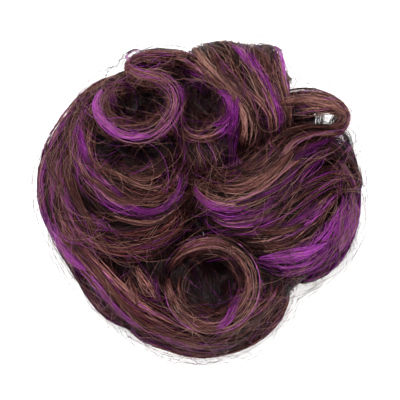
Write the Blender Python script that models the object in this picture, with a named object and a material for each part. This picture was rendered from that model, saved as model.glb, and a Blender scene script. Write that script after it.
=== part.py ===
"""Top knot hairpiece: curled locks of brown and purple hair sewn round an elastic ring.

The piece lies on its back with its front up, as it does on a table. X runs to the wearer's
right, Y to the top of the head and Z out of the front. The origin is under the middle of the
piece, on the surface that it lies on.

From the back to the front it is made of:
- elastic_band, the flat ring that grips the wearer's own bun
- weft_ring, the sewn roots of the hair, wound into a ring on the band
- back_loop_01 to back_loop_12, the loops of hair that wrap from the weft round the rim
- the named locks and curls, which lie on the loops and on each other
"""

import math
from collections import namedtuple

import bmesh
import bpy
from mathutils import Vector

MM = 0.001

# Driving sizes of the whole piece
HALF_SPREAD = 75 * MM
PILE_HEIGHT = 58 * MM
LOCK_WIDTH = 16 * MM
LOCK_THICKNESS = 8 * MM

# Gap between neighbours, how far a lock's cutter stands out so that its slanting facets keep
# that gap, and the share of a piece's volume below which a cut-off bit is a crumb
CLEARANCE = 0.3 * MM
CUTTER_GROWTH = 1.3 * CLEARANCE
CRUMB_SHARE = 0.01

# The elastic band and the wound weft, round the hole for the wearer's bun
RING_CENTRE_X = -0.06 * HALF_SPREAD
RING_CENTRE_Y = 0.12 * HALF_SPREAD
HOLE_RADIUS = 16 * MM
BAND_WIDTH = 8 * MM
BAND_HEIGHT = 4 * MM
BAND_EDGE = 1 * MM
WEFT_WIDTH = 10 * MM
WEFT_HEIGHT = 8 * MM
RING_STEPS = 28

# The back loops: their number, and how much smaller one is at its sides than at its middle
LOOP_COUNT = 12
LOOP_FLATTENING = 0.10

# Faceting
LOCK_SIDES = 6
STEPS_PER_ROW = 2
WEFT_SIDES = 8
SMOOTH_BELOW = math.radians(50)

Row = namedtuple("Row", "x y z wide thick")
Lock = namedtuple("Lock", "name colour hub rows")

BROWN = (0.055, 0.025, 0.018)
RED_BROWN = (0.085, 0.030, 0.022)
PURPLE = (0.22, 0.03, 0.30)
BLACK = (0.012, 0.012, 0.013)

# The locks, from the one that lies on top to the lowest: each is hollowed where an earlier one
# presses into it. x and y are percent of HALF_SPREAD, z is percent of PILE_HEIGHT, wide and
# thick are percent of LOCK_WIDTH and LOCK_THICKNESS. A lock's flat side faces away from its
# hub, a point given the same way as x, y and z.
LOCKS = (
    Lock("crown_curl", RED_BROWN, (-37, 56, 88), (
        Row(-2, 82, 44, 50, 50),
        Row(-13, 85, 54, 55, 55),
        Row(-26, 86, 60, 55, 55),
        Row(-35, 86, 62, 40, 42),
        Row(-42, 82, 64, 30, 36),
        Row(-41, 77, 65, 32, 38),
        Row(-35, 73, 66, 44, 46),
        Row(-26, 72, 68, 70, 60),
        Row(-18, 67, 69, 76, 62),
        Row(-15, 59, 69, 80, 64),
        Row(-19, 50, 69, 80, 64),
        Row(-28, 42, 69, 80, 64),
        Row(-38, 40, 69, 82, 66),
        Row(-49, 43, 69, 82, 66),
        Row(-56, 49, 69, 80, 64),
        Row(-59, 57, 68, 76, 60),
        Row(-55, 64, 66, 66, 52),
        Row(-48, 67, 62, 50, 40),
    )),
    Lock("lower_curl", BROWN, (9, -48, 86), (
        Row(-16, -40, 58, 50, 50),
        Row(-10, -33, 62, 60, 60),
        Row(0, -29, 66, 66, 65),
        Row(11, -28, 67, 76, 72),
        Row(21, -32, 67, 84, 78),
        Row(28, -41, 67, 92, 82),
        Row(30, -51, 66, 98, 85),
        Row(27, -61, 65, 106, 85),
        Row(20, -69, 64, 110, 80),
        Row(9, -73, 63, 110, 75),
        Row(-2, -71, 62, 105, 70),
        Row(-11, -63, 60, 95, 65),
        Row(-16, -52, 58, 60, 50),
    )),
    Lock("right_loop", RED_BROWN, (40, 18, 0), (
        Row(36, 53, 42, 60, 50),
        Row(46, 56, 52, 105, 70),
        Row(58, 58, 58, 115, 80),
        Row(71, 59, 60, 100, 80),
        Row(82, 57, 57, 60, 75),
        Row(88, 51, 54, 42, 70),
        Row(85, 43, 55, 36, 70),
        Row(76, 40, 58, 42, 70),
        Row(66, 39, 62, 54, 75),
        Row(56, 35, 68, 75, 80),
        Row(47, 26, 73, 85, 85),
        Row(36, 17, 75, 90, 85),
        Row(24, 12, 72, 85, 80),
        Row(12, 12, 64, 70, 75),
        Row(3, 16, 52, 45, 60),
    )),
    Lock("top_right_lock", BROWN, (30, 40, 0), (
        Row(30, 84, 16, 60, 60),
        Row(31, 90, 30, 130, 80),
        Row(32, 89, 48, 180, 100),
        Row(35, 82, 62, 170, 105),
        Row(40, 71, 70, 135, 100),
        Row(45, 60, 72, 100, 95),
        Row(48, 50, 70, 85, 85),
        Row(47, 40, 63, 70, 75),
        Row(43, 32, 54, 45, 60),
    )),
    Lock("top_left_lock", BROWN, (10, 40, 0), (
        Row(4, 82, 20, 60, 60),
        Row(5, 91, 34, 120, 80),
        Row(9, 89, 50, 150, 95),
        Row(16, 80, 61, 140, 100),
        Row(24, 70, 67, 125, 100),
        Row(31, 59, 70, 115, 95),
        Row(35, 48, 68, 105, 90),
        Row(34, 37, 62, 95, 85),
        Row(29, 27, 54, 60, 60),
    )),
    Lock("right_sweep_upper", PURPLE, (45, 25, 10), (
        Row(-4, 17, 50, 40, 50),
        Row(-1, 5, 62, 70, 75),
        Row(9, -3, 70, 95, 90),
        Row(23, -5, 75, 105, 95),
        Row(37, 1, 76, 105, 95),
        Row(49, 10, 75, 100, 90),
        Row(60, 20, 71, 90, 85),
        Row(70, 28, 64, 80, 80),
        Row(80, 32, 55, 65, 70),
        Row(87, 31, 45, 45, 60),
    )),
    Lock("left_sweep_inner", RED_BROWN, (-35, 20, 10), (
        Row(-58, 70, 44, 50, 50),
        Row(-66, 58, 53, 75, 70),
        Row(-70, 44, 58, 95, 80),
        Row(-72, 30, 62, 110, 85),
        Row(-68, 17, 66, 120, 90),
        Row(-57, 6, 70, 130, 95),
        Row(-43, -2, 73, 130, 100),
        Row(-29, -4, 74, 125, 100),
        Row(-17, 1, 71, 105, 90),
        Row(-10, 11, 63, 80, 75),
        Row(-9, 22, 52, 45, 55),
    )),
    Lock("right_sweep_middle", BROWN, (45, 20, 10), (
        Row(-4, 2, 48, 40, 50),
        Row(4, -10, 58, 70, 70),
        Row(17, -16, 65, 100, 85),
        Row(33, -15, 69, 115, 90),
        Row(49, -7, 70, 115, 90),
        Row(63, 2, 67, 110, 85),
        Row(76, 10, 61, 100, 80),
        Row(87, 13, 53, 80, 70),
        Row(95, 10, 44, 45, 55),
    )),
    Lock("left_sweep_outer", BROWN, (-40, 10, 10), (
        Row(-82, 44, 38, 50, 50),
        Row(-81, 30, 46, 80, 70),
        Row(-80, 15, 51, 95, 80),
        Row(-77, 0, 55, 110, 85),
        Row(-70, -14, 60, 120, 90),
        Row(-58, -24, 64, 135, 95),
        Row(-43, -27, 66, 140, 95),
        Row(-28, -25, 66, 130, 95),
        Row(-15, -17, 64, 110, 85),
        Row(-7, -5, 58, 80, 75),
        Row(-6, 6, 48, 45, 55),
    )),
    Lock("right_sweep_lower", BROWN, (40, 5, 10), (
        Row(10, -20, 48, 40, 50),
        Row(22, -25, 56, 80, 70),
        Row(38, -27, 62, 105, 85),
        Row(54, -23, 63, 115, 90),
        Row(68, -14, 61, 110, 85),
        Row(79, -3, 55, 95, 75),
        Row(86, 6, 48, 60, 60),
    )),
    Lock("top_curl", PURPLE, (3, 56, 74), (
        Row(-3, 71, 54, 60, 45),
        Row(8, 70, 58, 85, 52),
        Row(15, 63, 61, 95, 58),
        Row(17, 54, 62, 95, 60),
        Row(12, 45, 61, 95, 60),
        Row(2, 41, 59, 90, 58),
        Row(-6, 44, 57, 75, 50),
        Row(-8, 52, 54, 50, 42),
    )),
    Lock("left_heart_lock", BROWN, (-30, 20, 10), (
        Row(-36, 34, 44, 45, 50),
        Row(-48, 28, 54, 75, 70),
        Row(-52, 19, 60, 90, 80),
        Row(-44, 11, 64, 100, 85),
        Row(-32, 9, 66, 105, 85),
        Row(-21, 13, 63, 95, 80),
        Row(-14, 22, 54, 70, 65),
        Row(-13, 31, 44, 45, 50),
    )),
    Lock("top_heart_lock", BROWN, (5, 30, 0), (
        Row(-12, 62, 40, 60, 50),
        Row(-5, 50, 48, 110, 70),
        Row(2, 40, 53, 150, 80),
        Row(7, 30, 56, 170, 85),
        Row(10, 20, 54, 160, 80),
        Row(9, 11, 46, 110, 65),
        Row(6, 5, 38, 60, 50),
    )),
    Lock("left_shoulder_lock", RED_BROWN, (-45, 20, -20), (
        Row(-42, 68, 48, 50, 50),
        Row(-50, 69, 52, 80, 70),
        Row(-60, 63, 50, 105, 80),
        Row(-70, 53, 46, 115, 85),
        Row(-79, 41, 41, 115, 85),
        Row(-86, 28, 37, 115, 85),
        Row(-90, 13, 34, 115, 85),
        Row(-90, -4, 31, 105, 80),
        Row(-86, -19, 28, 85, 70),
        Row(-78, -30, 26, 50, 50),
    )),
    Lock("bottom_sweep", RED_BROWN, (-20, -30, 10), (
        Row(-86, 4, 42, 45, 50),
        Row(-85, -12, 44, 70, 70),
        Row(-78, -26, 45, 85, 80),
        Row(-68, -38, 46, 95, 85),
        Row(-57, -50, 46, 105, 90),
        Row(-45, -62, 46, 110, 90),
        Row(-31, -72, 46, 115, 90),
        Row(-15, -79, 45, 120, 90),
        Row(2, -82, 44, 120, 90),
        Row(19, -80, 42, 115, 90),
        Row(34, -73, 40, 105, 85),
        Row(45, -62, 37, 85, 75),
        Row(50, -50, 33, 50, 55),
    )),
    Lock("right_fan", PURPLE, (45, -5, 10), (
        Row(30, -34, 46, 40, 50),
        Row(42, -37, 50, 90, 70),
        Row(56, -38, 50, 125, 80),
        Row(69, -33, 48, 130, 85),
        Row(79, -22, 46, 115, 80),
        Row(85, -8, 44, 95, 75),
        Row(87, 5, 40, 60, 60),
    )),
    Lock("lower_left_lock", BROWN, (-20, -30, 0), (
        Row(-44, -30, 38, 60, 50),
        Row(-44, -42, 44, 115, 75),
        Row(-40, -54, 46, 130, 85),
        Row(-31, -64, 46, 120, 80),
        Row(-20, -71, 42, 70, 60),
    )),
    Lock("lower_heart_lock", BROWN, (-10, -30, 0), (
        Row(-20, -30, 38, 60, 50),
        Row(-21, -42, 44, 105, 75),
        Row(-17, -54, 46, 120, 80),
        Row(-8, -65, 44, 105, 75),
        Row(3, -71, 40, 60, 55),
    )),
    Lock("lower_right_lock", BROWN, (25, -40, 10), (
        Row(36, -34, 34, 50, 50),
        Row(43, -43, 38, 95, 75),
        Row(45, -55, 38, 115, 85),
        Row(39, -66, 37, 110, 80),
        Row(28, -74, 35, 60, 60),
    )),
    Lock("right_rim_lock", PURPLE, (50, 0, -10), (
        Row(90, 32, 36, 45, 50),
        Row(92, 18, 36, 80, 65),
        Row(92, 5, 34, 100, 75),
        Row(91, -9, 31, 110, 80),
        Row(87, -24, 28, 115, 80),
        Row(79, -37, 25, 115, 80),
        Row(67, -45, 23, 105, 75),
        Row(55, -47, 22, 60, 60),
    )),
    Lock("top_right_tuft", PURPLE, (20, 40, 20), (
        Row(38, 84, 20, 50, 50),
        Row(47, 79, 24, 80, 70),
        Row(51, 69, 26, 90, 75),
        Row(50, 59, 27, 80, 70),
        Row(43, 52, 28, 45, 50),
    )),
    Lock("bottom_left_lock", PURPLE, (-30, -20, -20), (
        Row(-89, -12, 20, 45, 50),
        Row(-83, -25, 21, 80, 70),
        Row(-75, -37, 22, 95, 80),
        Row(-68, -48, 22, 100, 85),
        Row(-61, -59, 22, 105, 85),
        Row(-52, -69, 22, 100, 80),
        Row(-41, -76, 22, 60, 60),
    )),
    Lock("bottom_rim_lock", RED_BROWN, (0, -35, -15), (
        Row(-46, -73, 20, 45, 50),
        Row(-34, -82, 21, 85, 70),
        Row(-18, -87, 22, 105, 80),
        Row(0, -91, 22, 110, 85),
        Row(18, -88, 22, 110, 85),
        Row(34, -82, 22, 105, 80),
        Row(47, -70, 22, 95, 75),
        Row(53, -56, 23, 50, 55),
    )),
)

# How far each back loop reaches from the middle of the ring, in percent of HALF_SPREAD. The
# first points to the wearer's right, and the rest follow anticlockwise.
LOOP_REACH = (97, 75, 91, 70, 62, 78, 87, 87, 92, 98, 95, 95)

# A back loop's outline in a plane through the ring's axis. out is percent of the way from the
# weft to the reach, and up is percent of PILE_HEIGHT. The last point is over the hole's wall.
LoopPoint = namedtuple("LoopPoint", "out up")
LOOP_OUTLINE = (
    LoopPoint(18, 0),
    LoopPoint(60, 0),
    LoopPoint(86, 7),
    LoopPoint(100, 22),
    LoopPoint(94, 36),
    LoopPoint(73, 47),
    LoopPoint(42, 53),
    LoopPoint(5, 51),
)
LOOP_WALL_TOP = 0.38 * PILE_HEIGHT

# The sections of a back loop, as shares of the way from its middle to its sides
LOOP_SECTIONS = (1.0, 0.4, -0.4, -1.0)


def clear_scene():
    for obj in list(bpy.data.objects):
        bpy.data.objects.remove(obj)


def hair_material(name, colour, roughness=0.4):
    material = bpy.data.materials.new(name)
    material.use_nodes = True
    shader = material.node_tree.nodes["Principled BSDF"]
    shader.inputs["Base Color"].default_value = (*colour, 1.0)
    shader.inputs["Roughness"].default_value = roughness
    shader.inputs["Metallic"].default_value = 0.0
    return material


def add_object(name, verts, faces, material=None):
    mesh = bpy.data.meshes.new(name)
    mesh.from_pydata(verts, [], faces)
    mesh.shade_smooth()
    mesh.set_sharp_from_angle(angle=SMOOTH_BELOW)
    if material:
        mesh.materials.append(material)
    obj = bpy.data.objects.new(name, mesh)
    bpy.context.scene.collection.objects.link(obj)
    return obj


def closed_tube(rings):
    """Vertices and faces of a tube through equal rings of points, with an end face on each end."""
    sides = len(rings[0])
    verts = [point for ring in rings for point in ring]
    faces = [tuple(reversed(range(sides)))]
    for start in range(0, len(verts) - sides, sides):
        for i in range(sides):
            j = (i + 1) % sides
            faces.append((start + i, start + j, start + sides + j))
            faces.append((start + i, start + sides + j, start + sides + i))
    faces.append(tuple(range(len(verts) - sides, len(verts))))
    return verts, faces


def swept_ring(name, outline, material):
    """A closed ring with the given (radius, height) outline, turned about the ring's axis."""
    verts = []
    for step in range(RING_STEPS):
        angle = 2 * math.pi * step / RING_STEPS
        for radius, height in outline:
            verts.append(on_ring(radius, angle, height))
    count = len(outline)
    faces = []
    for step in range(RING_STEPS):
        here = step * count
        there = (step + 1) % RING_STEPS * count
        for i in range(count):
            j = (i + 1) % count
            faces.append((here + i, there + i, there + j, here + j))
    return add_object(name, verts, faces, material)


def on_ring(radius, angle, height):
    """The point at a radius and an angle round the ring's axis, at a height over the table."""
    x = RING_CENTRE_X + radius * math.cos(angle)
    y = RING_CENTRE_Y + radius * math.sin(angle)
    return Vector((x, y, height))


def make_elastic_band():
    inner = HOLE_RADIUS
    outer = HOLE_RADIUS + BAND_WIDTH
    outline = (
        (inner + BAND_EDGE, 0),
        (outer - BAND_EDGE, 0),
        (outer, BAND_EDGE),
        (outer, BAND_HEIGHT - BAND_EDGE),
        (outer - BAND_EDGE, BAND_HEIGHT),
        (inner + BAND_EDGE, BAND_HEIGHT),
        (inner, BAND_HEIGHT - BAND_EDGE),
        (inner, BAND_EDGE),
    )
    return swept_ring("elastic_band", outline, hair_material("band_elastic", BLACK, 0.8))


def weft_outer_radius():
    return HOLE_RADIUS + BAND_WIDTH / 2 + WEFT_WIDTH / 2


def weft_top():
    return BAND_HEIGHT + CLEARANCE + WEFT_HEIGHT


def make_weft_ring():
    middle = HOLE_RADIUS + BAND_WIDTH / 2
    height = BAND_HEIGHT + CLEARANCE + WEFT_HEIGHT / 2
    outline = []
    for side in range(WEFT_SIDES):
        turn = 2 * math.pi * (side + 0.5) / WEFT_SIDES
        radius = middle + WEFT_WIDTH / 2 * math.cos(turn)
        outline.append((radius, height + WEFT_HEIGHT / 2 * math.sin(turn)))
    return swept_ring("weft_ring", outline, hair_material("weft_hair", BROWN))


def loop_outline(reach):
    """The (radius, height) outline of one back loop, which fits over the weft ring."""
    start = weft_outer_radius() + CLEARANCE
    over_weft = weft_top() + CLEARANCE
    wall = HOLE_RADIUS + BAND_EDGE
    outline = []
    for point in LOOP_OUTLINE:
        outline.append((start + (reach - start) * point.out / 100, point.up / 100 * PILE_HEIGHT))
    outline.append((wall, LOOP_WALL_TOP))
    outline.append((wall, over_weft))
    outline.append((start, over_weft))
    outline.append((start, BAND_EDGE))
    return outline


def make_back_loop(index, material):
    """One wedge of the roll of hair round the ring, fullest along its middle."""
    reach = LOOP_REACH[index] / 100 * HALF_SPREAD
    middle_angle = 2 * math.pi * index / LOOP_COUNT
    half_turn = math.pi / LOOP_COUNT
    outline = loop_outline(reach)
    count = len(outline)
    heart_radius = sum(radius for radius, _ in outline) / count
    heart_height = sum(height for _, height in outline) / count
    rings = []
    for across in LOOP_SECTIONS:
        shrink = LOOP_FLATTENING * across ** 2
        ring = []
        for number, (radius, height) in enumerate(outline):
            if number < len(LOOP_OUTLINE):
                radius += (heart_radius - radius) * shrink
                height += (heart_height - height) * shrink
            edge = half_turn - CLEARANCE / (2 * radius)
            ring.append(on_ring(radius, middle_angle + across * edge, height))
        rings.append(ring)
    verts, faces = closed_tube(rings)
    return add_object(f"back_loop_{index + 1:02d}", verts, faces, material)


def place(x, y, z):
    """The point that a table's percentages stand for."""
    return Vector((x / 100 * HALF_SPREAD, y / 100 * HALF_SPREAD, z / 100 * PILE_HEIGHT))


def blend(before, start, end, after, share):
    """The uniform cubic through start and end, with before and after as its neighbours."""
    return 0.5 * (
        2 * start
        + (end - before) * share
        + (2 * before - 5 * start + 4 * end - after) * share ** 2
        + (3 * start - before - 3 * end + after) * share ** 3
    )


def lock_stations(rows):
    """(point, half width, half thickness) at even shares of the way along a lock's rows."""
    known = []
    for row in rows:
        half_width = row.wide / 100 * LOCK_WIDTH / 2
        half_thickness = row.thick / 100 * LOCK_THICKNESS / 2
        known.append((place(row.x, row.y, row.z), half_width, half_thickness))
    last = len(known) - 1
    stations = []
    for step in range(last * STEPS_PER_ROW + 1):
        index = min(step // STEPS_PER_ROW, last - 1)
        share = step / STEPS_PER_ROW - index
        near = [known[min(max(index + k, 0), last)] for k in (-1, 0, 1, 2)]
        stations.append(tuple(blend(*(value[k] for value in near), share) for k in range(3)))
    return stations


def lock_rings(lock, growth=0.0):
    """The lens-shaped sections of a lock, each turned so that its flat side faces off the hub."""
    hub = place(*lock.hub)
    stations = lock_stations(lock.rows)
    last = len(stations) - 1
    rings = []
    for number, (point, half_width, half_thickness) in enumerate(stations):
        ahead = stations[min(number + 1, last)][0]
        behind = stations[max(number - 1, 0)][0]
        along = (ahead - behind).normalized()
        outward = point - hub
        outward = (outward - along * outward.dot(along)).normalized()
        across = outward.cross(along)
        end_shift = growth * ((number == last) - (number == 0))
        ring = []
        for side in range(LOCK_SIDES):
            turn = 2 * math.pi * side / LOCK_SIDES
            ring.append(
                point
                + along * end_shift
                + across * (half_width + growth) * math.cos(turn)
                + outward * (half_thickness + growth) * math.sin(turn)
            )
        rings.append(ring)
    return rings


def make_lock(lock, material):
    verts, faces = closed_tube(lock_rings(lock))
    return add_object(lock.name, verts, faces, material)


def make_cutter(lock):
    """The lock grown by the clearance, which hollows what it presses into. It isn't a piece."""
    verts, faces = closed_tube(lock_rings(lock, CUTTER_GROWTH))
    cutter = add_object(lock.name + "_cutter", verts, faces)
    cutter.hide_render = True
    cutter.display_type = "WIRE"
    return cutter


def boxes_meet(first, second):
    for axis in range(3):
        first_run = [vertex.co[axis] for vertex in first.data.vertices]
        second_run = [vertex.co[axis] for vertex in second.data.vertices]
        if max(first_run) < min(second_run) or max(second_run) < min(first_run):
            return False
    return True


def hollow(piece, cutters):
    """Cut the piece by each cutter that reaches it, and drop the crumbs that the cuts leave."""
    for cutter in cutters:
        if boxes_meet(piece, cutter):
            modifier = piece.modifiers.new(cutter.name, "BOOLEAN")
            modifier.operation = "DIFFERENCE"
            # Where locks bend tightly the exact solver leaves some of a cut's overlap behind
            modifier.solver = "MANIFOLD"
            modifier.object = cutter
    graph = bpy.context.evaluated_depsgraph_get()
    piece.data = bpy.data.meshes.new_from_object(piece.evaluated_get(graph))
    piece.modifiers.clear()
    drop_crumbs(piece.data)


def drop_crumbs(mesh):
    form = bmesh.new()
    form.from_mesh(mesh)
    bodies = []
    unseen = set(form.verts)
    while unseen:
        body = {unseen.pop()}
        edge_of_body = list(body)
        while edge_of_body:
            vertex = edge_of_body.pop()
            near = {edge.other_vert(vertex) for edge in vertex.link_edges} & unseen
            unseen -= near
            body |= near
            edge_of_body.extend(near)
        bodies.append(body)
    volumes = [volume_of(body) for body in bodies]
    for body, volume in zip(bodies, volumes):
        if volume < CRUMB_SHARE * max(volumes):
            bmesh.ops.delete(form, geom=list(body), context="VERTS")
    form.to_mesh(mesh)
    form.free()


def volume_of(body):
    """The volume inside the faces of one body, as a fan of tetrahedra to the origin."""
    total = 0.0
    for face in {face for vertex in body for face in vertex.link_faces}:
        first, *others = [vertex.co for vertex in face.verts]
        for second, third in zip(others, others[1:]):
            total += first.dot(second.cross(third)) / 6
    return total


def main():
    clear_scene()
    make_elastic_band()
    make_weft_ring()
    loop_hair = hair_material("back_loop_hair", BROWN)
    loops = [make_back_loop(index, loop_hair) for index in range(LOOP_COUNT)]
    cutters = []
    for lock in LOCKS:
        piece = make_lock(lock, hair_material(lock.name + "_hair", lock.colour))
        hollow(piece, cutters)
        cutters.append(make_cutter(lock))
    for loop in loops:
        hollow(loop, cutters)


main()
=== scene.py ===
# %% [markdown]
# # A messy-bun hairpiece, hair by hair
#
# The object is a bun of synthetic hair sewn round an elastic ring. Hair can't be modelled as one
# lump, because what the eye reads is thousands of thin strands that run together, part and cross.
# Blender has a hair object, but it doesn't travel to other programs, so here every strand is a thin
# closed tube in an ordinary mesh. The strands are laid by numpy along the same locks that the
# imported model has, so the bun keeps its measured form.

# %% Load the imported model
import math
from collections import namedtuple

import bpy
import numpy as np
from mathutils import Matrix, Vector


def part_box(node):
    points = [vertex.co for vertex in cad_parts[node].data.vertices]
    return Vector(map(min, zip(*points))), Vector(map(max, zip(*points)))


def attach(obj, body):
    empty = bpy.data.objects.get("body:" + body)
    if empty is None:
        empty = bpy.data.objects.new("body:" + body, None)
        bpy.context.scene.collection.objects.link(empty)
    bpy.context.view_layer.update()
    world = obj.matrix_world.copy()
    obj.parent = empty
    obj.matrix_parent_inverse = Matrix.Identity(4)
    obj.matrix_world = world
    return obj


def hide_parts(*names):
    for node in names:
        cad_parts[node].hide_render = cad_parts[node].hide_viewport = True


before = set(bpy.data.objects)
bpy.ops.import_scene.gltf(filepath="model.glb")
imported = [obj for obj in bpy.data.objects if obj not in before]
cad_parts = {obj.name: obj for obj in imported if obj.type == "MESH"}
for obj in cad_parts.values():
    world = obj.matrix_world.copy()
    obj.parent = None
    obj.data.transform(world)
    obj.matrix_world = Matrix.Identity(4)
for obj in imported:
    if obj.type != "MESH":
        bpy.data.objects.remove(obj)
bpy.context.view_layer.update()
print("nodes:", len(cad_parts))

# %% [markdown]
# ## Sizes
#
# These are the sizes that the solids were built from. x and y of a table are percent of the half
# spread and z is percent of the pile's height, so one set of numbers places both the solids and
# the strands.

# %% Driving sizes
MM = 0.001
HALF_SPREAD = 75 * MM
PILE_HEIGHT = 58 * MM
LOCK_WIDTH = 16 * MM
LOCK_THICKNESS = 8 * MM

band_low, band_high = (np.array(corner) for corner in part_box("elastic_band"))
RING_CENTRE = (band_low + band_high)[:2] / 2
BAND_HEIGHT = band_high[2]
UP = np.array([0.0, 0.0, 1.0])
print("ring centre (mm):", np.round(RING_CENTRE / MM, 1))

# %% [markdown]
# ## The locks
#
# A lock is a bundle of hair that the maker curled and pinned as one. Each has a row for every
# bend: where it is, how wide and how thick. The hub is the point that its flat side faces away
# from, which is what makes a curl stand on edge and a sweep lie flat.

# %% Table of locks
Row = namedtuple("Row", "x y z wide thick")
Lock = namedtuple("Lock", "name hub rows")

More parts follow.
